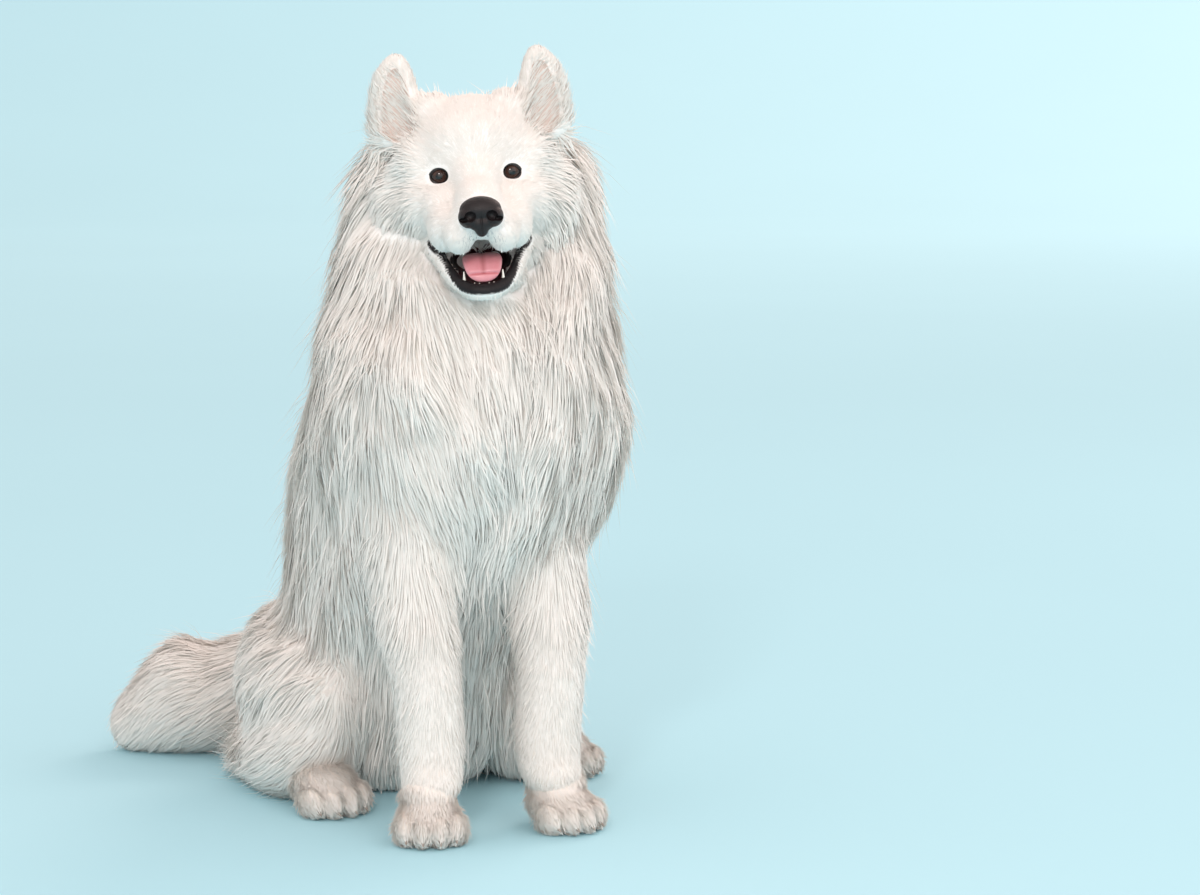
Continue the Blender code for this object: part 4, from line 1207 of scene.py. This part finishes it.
def tuft_mesh(name, line, normals, flat, width, draw, warm, dusk):
    """Closed, tapered tufts with a three-sided section, flat on the outside, as one object."""
    count, rows = line.shape[:2]
    run = unit(np.gradient(line, axis=1))
    aside = unit(np.cross(run, normals[:, None]))
    up = np.cross(aside, run)
    rings = []
    for k, share in enumerate(TUFT_PROFILE):
        half = (width * share / 2)[:, None]
        middle = line[:, k]
        rings.append(middle + aside[:, k] * half)
        rings.append(middle - aside[:, k] * half)
        rings.append(middle - up[:, k] * half * 0.5)
    rings.append(line[:, -1])
    points = np.stack(rings, 1)
    each = points.shape[1]
    sides = []
    for k in range(len(TUFT_PROFILE) - 1):
        for j in range(3):
            after = (j + 1) % 3
            sides.append((3 * k + j, 3 * k + 3 + j, 3 * k + 3 + after, 3 * k + after))
    last = 3 * (len(TUFT_PROFILE) - 1)
    ends = [(last + j, each - 1, last + (j + 1) % 3) for j in range(3)] + [(0, 1, 2)]
    offset = (np.arange(count) * each)[:, None, None]
    faces = [(offset + np.array(kind)[None]).reshape(-1, len(kind[0])) for kind in (sides, ends)]
    obj = new_mesh(name, points.reshape(-1, 3), faces)
    mesh = obj.data
    mesh.shade_flat()
    reach = np.array([k / (rows - 1) for k in range(rows - 1) for _ in range(3)] + [1.0])
    set_attribute(mesh, "reach", np.tile(reach, count))
    for kind, values in (("strand", draw.random(count)), ("warm", warm), ("dusk", dusk)):
        set_attribute(mesh, kind, np.repeat(values, each))
    patch = np.array([(TUFT_PATCH * math.cos(2.4 * i), TUFT_PATCH * math.sin(2.4 * i))
                      for i in range(each)])
    corner = np.empty(len(mesh.loops), np.int32)
    mesh.loops.foreach_get("vertex_index", corner)
    places = (flat[:, None] + patch[None]).reshape(-1, 2)[corner]
    layer = mesh.uv_layers.new(name="OFBake")
    layer.uv.foreach_set("vector", places.astype(np.float32).ravel())
    return obj


def cream_and_shade(points):
    """How much cream the coat takes: painted shade in the throat's folds under the chin and on the
    chest between the ruff's and the bib's tiers, the ear cups' own cream with painted shade in their
    depth, and the feet's own cream.
    """
    local = on_head(points)
    throat = 1 - step(np.abs(local[:, 2] + 0.150), 0.0, 0.045)
    throat *= 1 - step(points[:, 1], -0.24, -0.16)
    chest = (1 - step(np.abs(points[:, 2] - 0.42), 0.0, 0.09)) * (1 - step(points[:, 1], -0.30, -0.20))
    feet = 1 - step(points[:, 2], 0.02, 0.07)
    total = throat * 0.75 + chest * 0.30 + feet * 0.20
    for side in SIDES.values():
        cup = nearness(local, ear_cup(side))
        total = total + 1.2 * (1 - step(cup, 0.90, 1.15))
    return np.clip(total, 0, 1.4)


def grey_below_nose(points):
    """1 between the nose and the upper lip, where skin and hair are made grey, fading to 0 round it."""
    return 1 - step(nearness(on_head(points), [GREY_BELOW_NOSE]), 0.25, 1.25)


def duskiness(points, draw):
    """How grey each hair is."""
    return np.clip(grey_below_nose(points) * draw.uniform(0.2, 1.1, len(points)), 0, 0.9)


def make_coat(name, ground, density, count, share):
    """Tufts on the ground, as dense as density says for each of its triangles, in several pieces."""
    line, normals, flat, width, draw = grow(ground, density, count, COAT_SEEDS[name], share)
    order = np.lexsort((line[:, 0, 2], line[:, 0, 0] > 0))
    warm, dusk = cream_and_shade(line[:, 0]), duskiness(line[:, 0], draw)
    for k, rows in enumerate(np.array_split(order, math.ceil(count / PIECE_TUFTS))):
        obj = tuft_mesh(f"coat_{name}_{k + 1}", line[rows], normals[rows], flat[rows], width[rows],
                        draw, warm[rows], dusk[rows])
        finished(obj, bpy.data.materials["coat"], "coat", smooth=False)


# The face's small pieces

def eye_centre(side):
    return Vector((side * EYE_SPACING / 2, EYE_DEPTH, 0.0))


def from_eye(local, side):
    return local - np.array(tuple(eye_centre(side)))


def make_eye(name, side):
    """An eyeball whose rings of colour are set by how far they lie from its axis."""
    select()
    bpy.ops.mesh.primitive_uv_sphere_add(segments=48, ring_count=32, radius=EYEBALL,
                                         rotation=(math.radians(90), 0, 0))
    eye = bpy.context.object
    bpy.ops.object.transform_apply(location=False, rotation=True, scale=False)
    eye.name = eye.data.name = f"eyeball_{name}"
    points = points_of(eye.data)
    aim = np.array([EYE_AIM[0] * side, *EYE_AIM[1:]])
    aim /= np.linalg.norm(aim)
    front = points @ aim / EYEBALL
    set_attribute(eye.data, "ring", np.arccos(np.clip(front, -1, 1)) / 0.95)
    move_points(eye.data, points * (1 + CORNEA * step(front, 0.80, 1.0))[:, None])
    eye.data.transform(head_place() @ Matrix.Translation(eye_centre(side)))
    return eye


def make_rim(name, side):
    """The black rim of the lids, an almond ring that follows the eyeball."""
    around, section = 48, 10
    points = []
    for i in range(around):
        a = math.tau * i / around
        x = LID_HALF_WIDTH * math.cos(a)
        z = LID_HALF_HEIGHT * math.sin(a) * (1 - 0.25 * math.cos(a) ** 2)
        depth = math.sqrt(EYEBALL ** 2 - x * x - z * z)
        out = Vector((x, -depth, z)).normalized()
        centre = out * (EYEBALL + LID_THICK * 0.25)
        across = Vector((math.cos(a), 0, math.sin(a)))
        across = (across - out * across.dot(out)).normalized()
        thick = LID_THICK * (1.15 if z > 0 else 0.9)
        for k in range(section):
            b = math.tau * k / section
            points.append(centre + (out * math.cos(b) * 0.8 + across * math.sin(b)) * thick)
    faces = []
    for i in range(around):
        for k in range(section):
            here, there = i * section, (i + 1) % around * section
            after = (k + 1) % section
            faces.append((here + k, there + k, there + after, here + after))
    rim = new_mesh(f"lid_rim_{name}", np.array(points), [np.array(faces)])
    rim.data.transform(head_place() @ Matrix.Translation(eye_centre(side)))
    return outward(rim)


def outward(obj):
    """Turns all faces of obj outwards."""
    select(obj)
    bpy.ops.object.mode_set(mode="EDIT")
    bpy.ops.mesh.select_all(action="SELECT")
    bpy.ops.mesh.normals_make_consistent(inside=False)
    bpy.ops.object.mode_set(mode="OBJECT")
    return obj


def make_nose():
    """The nose leather, with its nostrils cut and a fine cleft down its front."""
    nose = wrapped(balls("nose_leather", twins(NOSE)), *GRAIN["nose"])
    boolean(nose, wrapped(balls("nostril_cut", twins(NOSTRIL)), *GRAIN["nostril"]), "DIFFERENCE")
    points = points_of(nose.data)
    cleft = np.exp(-(points[:, 0] / 0.0009) ** 2) * step(-points[:, 2], 0.030, 0.040)
    points[:, 1] += 0.0016 * cleft * step(-points[:, 1], 0.080, 0.086)
    move_points(nose.data, points)
    nose.data.transform(head_place())
    return nose


def make_tongue():
    """A broad flat tongue with a groove along it, its end bent down behind the lip."""
    path = between([(place, (half, thick, 0)) for place, half, thick in TONGUE], TONGUE_STEP)
    around, points, edge = 40, [], []
    groove_width, groove_depth = TONGUE_GROOVE
    for (centre, half), along in zip(path, unit(np.gradient(centres_of(path), axis=0))):
        rise = np.cross(np.array([1.0, 0.0, 0.0]), along)
        rise = rise if rise[2] + rise[1] * 0.5 > 0 else -rise
        for k in range(around):
            a = math.tau * k / around
            x = math.copysign(abs(math.cos(a)) ** 0.8, math.cos(a)) * half[0]
            top = max(0.0, math.sin(a))
            groove = math.exp(-(x / groove_width) ** 2) * top
            lift = TONGUE_LIFT * (x / half[0]) ** 2 * top if half[0] > 0.004 else 0.0
            points.append(np.array(tuple(centre)) + np.array([x, 0, 0])
                          + rise * (math.sin(a) * half[1] + lift - groove_depth * groove))
            edge.append(groove)
    rows = len(path)
    sides = [(i * around + k, (i + 1) * around + k, (i + 1) * around + (k + 1) % around,
              i * around + (k + 1) % around) for i in range(rows - 1) for k in range(around)]
    ends = []
    for row in (0, rows - 1):
        middle = len(points)
        points.append(np.array(tuple(path[row][0])))
        edge.append(0.0)
        for k in range(around):
            here, after = row * around + k, row * around + (k + 1) % around
            ends.append((middle, here, after) if row == 0 else (middle, after, here))
    tongue = new_mesh("tongue_flesh", np.array(points), [np.array(sides), np.array(ends)])
    # The groove's mask, along which the tongue's material paints shade
    set_attribute(tongue.data, "groove", np.array(edge) * 0.6)
    apply_modifier(tongue, "SMOOTH", factor=0.4, iterations=2)
    tongue.data.transform(head_place())
    return outward(tongue)


def spike(radius, length, tip, bevel):
    """An upright cone with a blunt tip and soft edges, for a tooth or a claw."""
    select()
    bpy.ops.mesh.primitive_cone_add(vertices=14, radius1=radius, radius2=radius * tip, depth=length)
    return apply_modifier(bpy.context.object, "BEVEL", width=radius * bevel, segments=2)


def make_teeth():
    parts = []
    for x, y, z, radius, length in TEETH:
        for side in SIDES.values():
            tooth = spike(radius, abs(length), 0.25, 0.18)
            turn = Matrix.Rotation(math.pi if length < 0 else 0.0, 4, "X")
            tooth.data.transform(Matrix.Translation((x * side, y, z + length / 2)) @ turn)
            parts.append(tooth)
    teeth = joined("teeth", parts)
    teeth.data.transform(head_place())
    return teeth


def make_claws(name):
    """The four claws of a paw, bent a little down."""
    parts = []
    tilt = Matrix.Rotation(math.radians(CLAW_TILT), 4, "X")
    for toe_x, reach in zip(TOE_PLACES, TOE_REACH):
        claw = spike(CLAW_RADIUS, CLAW_LENGTH, 0.2, 0.2)
        place = Vector((toe_x, TOE_BASE - reach - TOE_HALF[1] + CLAW_SUNK, CLAW_RISE))
        claw.data.transform(Matrix.Translation(place) @ tilt)
        parts.append(claw)
    claws = joined(f"claws_{name}", parts)
    claws.data.transform(paw_place(name))
    return claws


# Properties, operators and the panel

class SamoyedCoatSettings(PropertyGroup):
    white: FloatVectorProperty(name="White", description="Colour of the outer hair",
                               subtype="COLOR", default=(0.965, 0.935, 0.905), min=0, max=1)
    # Cream: painted shade at the roots and in the hollows, and the ear cups' and the feet's own tone
    cream: FloatVectorProperty(name="Cream", description="Colour at the roots and in hollows",
                               subtype="COLOR", default=(0.87, 0.80, 0.71), min=0, max=1)
    sand: FloatVectorProperty(name="Sand", description="Colour low on the paws and the tail",
                              subtype="COLOR", default=(0.84, 0.76, 0.67), min=0, max=1)
    dusk: FloatVectorProperty(name="Dusk", description="Colour of the grey hairs between nose and lip",
                              subtype="COLOR", default=(0.16, 0.15, 0.16), min=0, max=1)
    long_tufts: IntProperty(name="Long tufts", description="Tufts on the body, the mane and the tail",
                            default=87000, min=1000)
    short_tufts: IntProperty(name="Short tufts", description="Tufts on the head and the paws",
                             default=62000, min=1000)


class SamoyedStageSettings(PropertyGroup):
    key: FloatProperty(name="Key light", description="Power of the main lamp", unit="POWER",
                       default=66.0, min=0)
    fill: FloatProperty(name="Fill light", description="Power of the low lamp in front",
                        unit="POWER", default=46.0, min=0)
    glint: FloatProperty(name="Glint", description="Power of the small lamp that shows in the eyes",
                         unit="POWER", default=27.0, min=0)
    backdrop: FloatProperty(name="Backdrop light", description="Power of the lamp on the backdrop",
                            unit="POWER", default=900.0, min=0)
    sky: FloatProperty(name="Sky", description="Strength of the light from all round",
                       default=0.92, min=0)
    lamp_colour: FloatVectorProperty(name="Lamp colour", description="Colour of the lamps and the sky",
                                     subtype="COLOR", default=(1.0, 0.885, 0.855), min=0, max=1)
    floor: FloatVectorProperty(name="Floor", description="Colour of the floor and the backdrop",
                               subtype="COLOR", default=(0.45, 0.75, 0.84), min=0, max=1)


class SAMOYED_OT_skin(Operator):
    """Makes one skin for the whole dog in place of the solids of flesh, and its undercoat"""
    bl_idname = "samoyed.skin"
    bl_label = "Skin and undercoat"

    def execute(self, context):
        skin = make_skin()
        points = points_of(skin.data)
        lips, mouth, ear = face_masks(points)
        grey = grey_below_nose(points) * 0.7
        for name, values in (("lips", lips), ("mouth", mouth), ("ear", ear), ("dusk", grey)):
            set_attribute(skin.data, name, values)
        flesh = [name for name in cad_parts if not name.startswith(("eye", "nose", "tongue"))]
        finished(skin, skin_material(), "coat", *flesh)
        wool = make_wool()
        points = points_of(wool.data)
        plain_hair = {"strand": 0.5, "reach": 0.5, "warm": cream_and_shade(points), "dusk": 0.0}
        for name, values in plain_hair.items():
            set_attribute(wool.data, name, np.zeros(len(points)) + values)
        finished(wool, coat_material(), "coat")
        return {"FINISHED"}


class SAMOYED_OT_eyes(Operator):
    """Makes both eyeballs and the black rims of their lids"""
    bl_idname = "samoyed.eyes"
    bl_label = "Eyes"

    def execute(self, context):
        wet = eye_material()
        rim = mottled_material("lid_rim", "lid", 900.0, 4.0, 0.0002, roughness=0.30)
        for name, side in SIDES.items():
            finished(make_eye(name, side), wet, "eye", f"eye_{name}")
            finished(make_rim(name, side), rim, "nose")
        return {"FINISHED"}


class SAMOYED_OT_nose(Operator):
    """Makes the nose leather with its nostrils"""
    bl_idname = "samoyed.nose"
    bl_label = "Nose"

    def execute(self, context):
        finished(make_nose(), nose_material(), "nose", "nose")
        return {"FINISHED"}


class SAMOYED_OT_mouth(Operator):
    """Makes the tongue and the teeth"""
    bl_idname = "samoyed.mouth"
    bl_label = "Tongue and teeth"

    def execute(self, context):
        finished(make_tongue(), tongue_material(), "tongue", "tongue")
        enamel = mottled_material("tooth_enamel", "enamel", 240.0, roughness=0.22, coat_weight=0.3)
        finished(make_teeth(), enamel, "eye")
        return {"FINISHED"}


class SAMOYED_OT_claws(Operator):
    """Makes the claws of all four paws"""
    bl_idname = "samoyed.claws"
    bl_label = "Claws"

    def execute(self, context):
        horn = mottled_material("claw_horn", "horn", 300.0, 4.0, 0.0002, roughness=0.32)
        for name in PAWS:
            finished(make_claws(name), horn, "nose")
        return {"FINISHED"}


class SAMOYED_OT_coat(Operator):
    """Grows the coat: short on the head and the paws, long from the undercoat everywhere else"""
    bl_idname = "samoyed.coat"
    bl_label = "Coat"

    def execute(self, context):
        skin, wool = (bpy.data.objects.get(name) for name in ("skin", "wool"))
        if skin is None or wool is None:
            raise RuntimeError("the coat grows from the skin and the undercoat: make them first")
        look = context.scene.samoyed_coat
        body = all_forms(part_forms(WOOL_SHARE))
        head = all_forms({name: forms for name, forms in all_parts(WOOL_SHARE).items()
                          if name.startswith(("head", "ear"))})
        jobs = (("short", skin, body, CORE_SHARE, look.short_tufts),
                ("long", wool, head, WOOL_SHARE, look.long_tufts))
        for name, obj, others, share, count in jobs:
            ground = Ground(obj)
            middles = ground.middles
            density = (nearness(middles, others) > COAT_COVERED) * (middles[:, 2] > LOWEST_ROOT)
            if obj is skin:
                cover, ear = bare(middles)
                density = density * (1 - cover) * (1 - ear * EAR_CUP_THINNING)
            lengths = coat_fields(middles, np.tile(-DOWN, (len(middles), 1)), share)[1][:, 0]
            density = density / np.maximum(lengths, SHORTEST_HAIR) ** LENGTH_THINNING
            make_coat(name, ground, density, count, share)
        return {"FINISHED"}


class SAMOYED_OT_stage(Operator):
    """Makes the floor, the lamps and the camera"""
    bl_idname = "samoyed.stage"
    bl_label = "Stage"

    def execute(self, context):
        look = context.scene.samoyed_stage
        make_floor(look)
        make_lamps(look)
        make_camera(context)
        return {"FINISHED"}


def make_floor(look):
    """A pale seamless sweep: a round level floor that curves gently up all round."""
    select()
    bpy.ops.mesh.primitive_circle_add(vertices=128, radius=SWEEP_RADIUS, fill_type="NGON")
    floor = bpy.context.object
    floor.name = floor.data.name = "floor"
    bpy.ops.object.mode_set(mode="EDIT")
    bpy.ops.mesh.select_mode(type="EDGE")
    bpy.ops.mesh.select_all(action="SELECT")
    angles = [math.radians(SWEEP_ARC * k / SWEEP_STEPS) for k in range(SWEEP_STEPS + 1)]
    outs = [SWEEP_RADIUS + SWEEP_CURVE * math.sin(a) for a in angles]
    ups = [SWEEP_CURVE * (1 - math.cos(a)) for a in angles]
    for k in range(1, len(outs)):
        rise = {"value": (0, 0, ups[k] - ups[k - 1])}
        bpy.ops.mesh.extrude_edges_move(TRANSFORM_OT_translate=rise)
        grow_by = outs[k] / outs[k - 1]
        bpy.ops.transform.resize(value=(grow_by, grow_by, 1), center_override=(0, 0, 0))
    bpy.ops.object.mode_set(mode="OBJECT")
    bpy.ops.object.shade_smooth()
    shader = Shader("pale_floor", roughness=0.85, specular_ior_level=0.15)
    soft = shader.noise(shader.place(), 0.5)
    colour = tuple(look.floor)
    shader.feed("Base Color", shader.mix(soft, colour, tuple(min(1.0, c * 1.04) for c in colour)))
    floor.data.materials.append(shader.material)


def make_lamps(look):
    """Broad soft lamps round the dog, a small one for the eyes, a sky and the view's colours."""
    warm = Vector(look.lamp_colour) * BACKDROP_WARMTH
    for name, (place, target, size, power, share) in LAMPS.items():
        select()
        bpy.ops.object.light_add(type="AREA", location=place)
        lamp = bpy.context.object
        lamp.name = f"{name}_lamp"
        lamp.data.size = size
        lamp.data.energy = getattr(look, power) * share
        lamp.data.color = warm if name == "backdrop" else look.lamp_colour
        lamp.visible_camera = False
        away = Vector(target) - Vector(place)
        lamp.rotation_euler = away.to_track_quat("-Z", "Y").to_euler()
    world = bpy.data.worlds.new("soft_sky")
    world.use_nodes = True
    ground = world.node_tree.nodes["Background"]
    ground.inputs["Color"].default_value = (*look.lamp_colour, 1.0)
    ground.inputs["Strength"].default_value = look.sky
    bpy.context.scene.world = world
    bpy.context.scene.view_settings.view_transform = "Standard"


def make_camera(context):
    select()
    turn = (math.radians(90 - CAMERA_DROP), 0.0, math.radians(CAMERA_TURN))
    bpy.ops.object.camera_add(location=CAMERA_PLACE, rotation=turn)
    camera = bpy.context.object
    camera.data.sensor_width = CAMERA_SENSOR
    camera.data.lens = CAMERA_LENS
    context.scene.camera = camera


class SAMOYED_PT_panel(Panel):
    bl_label = "Samoyed"
    bl_space_type = "VIEW_3D"
    bl_region_type = "UI"
    bl_category = "Samoyed"

    def draw(self, context):
        for operator in OPERATORS:
            self.layout.operator(operator.bl_idname)
        for group in (context.scene.samoyed_coat, context.scene.samoyed_stage):
            for name in group.bl_rna.properties.keys():
                if name not in ("rna_type", "name"):
                    self.layout.prop(group, name)


OPERATORS = (SAMOYED_OT_skin, SAMOYED_OT_eyes, SAMOYED_OT_nose, SAMOYED_OT_mouth,
             SAMOYED_OT_claws, SAMOYED_OT_coat, SAMOYED_OT_stage)
CLASSES = (SamoyedCoatSettings, SamoyedStageSettings, *OPERATORS, SAMOYED_PT_panel)


def register():
    for cls in CLASSES:
        bpy.utils.register_class(cls)
    bpy.types.Scene.samoyed_coat = PointerProperty(type=SamoyedCoatSettings)
    bpy.types.Scene.samoyed_stage = PointerProperty(type=SamoyedStageSettings)


def unregister():
    del bpy.types.Scene.samoyed_coat
    del bpy.types.Scene.samoyed_stage
    for cls in reversed(CLASSES):
        bpy.utils.unregister_class(cls)


def main():
    register()
    bpy.ops.samoyed.skin()
    bpy.ops.samoyed.eyes()
    bpy.ops.samoyed.nose()
    bpy.ops.samoyed.mouth()
    bpy.ops.samoyed.claws()
    bpy.ops.samoyed.coat()
    bpy.ops.samoyed.stage()


if __name__ == "__main__":
    main()
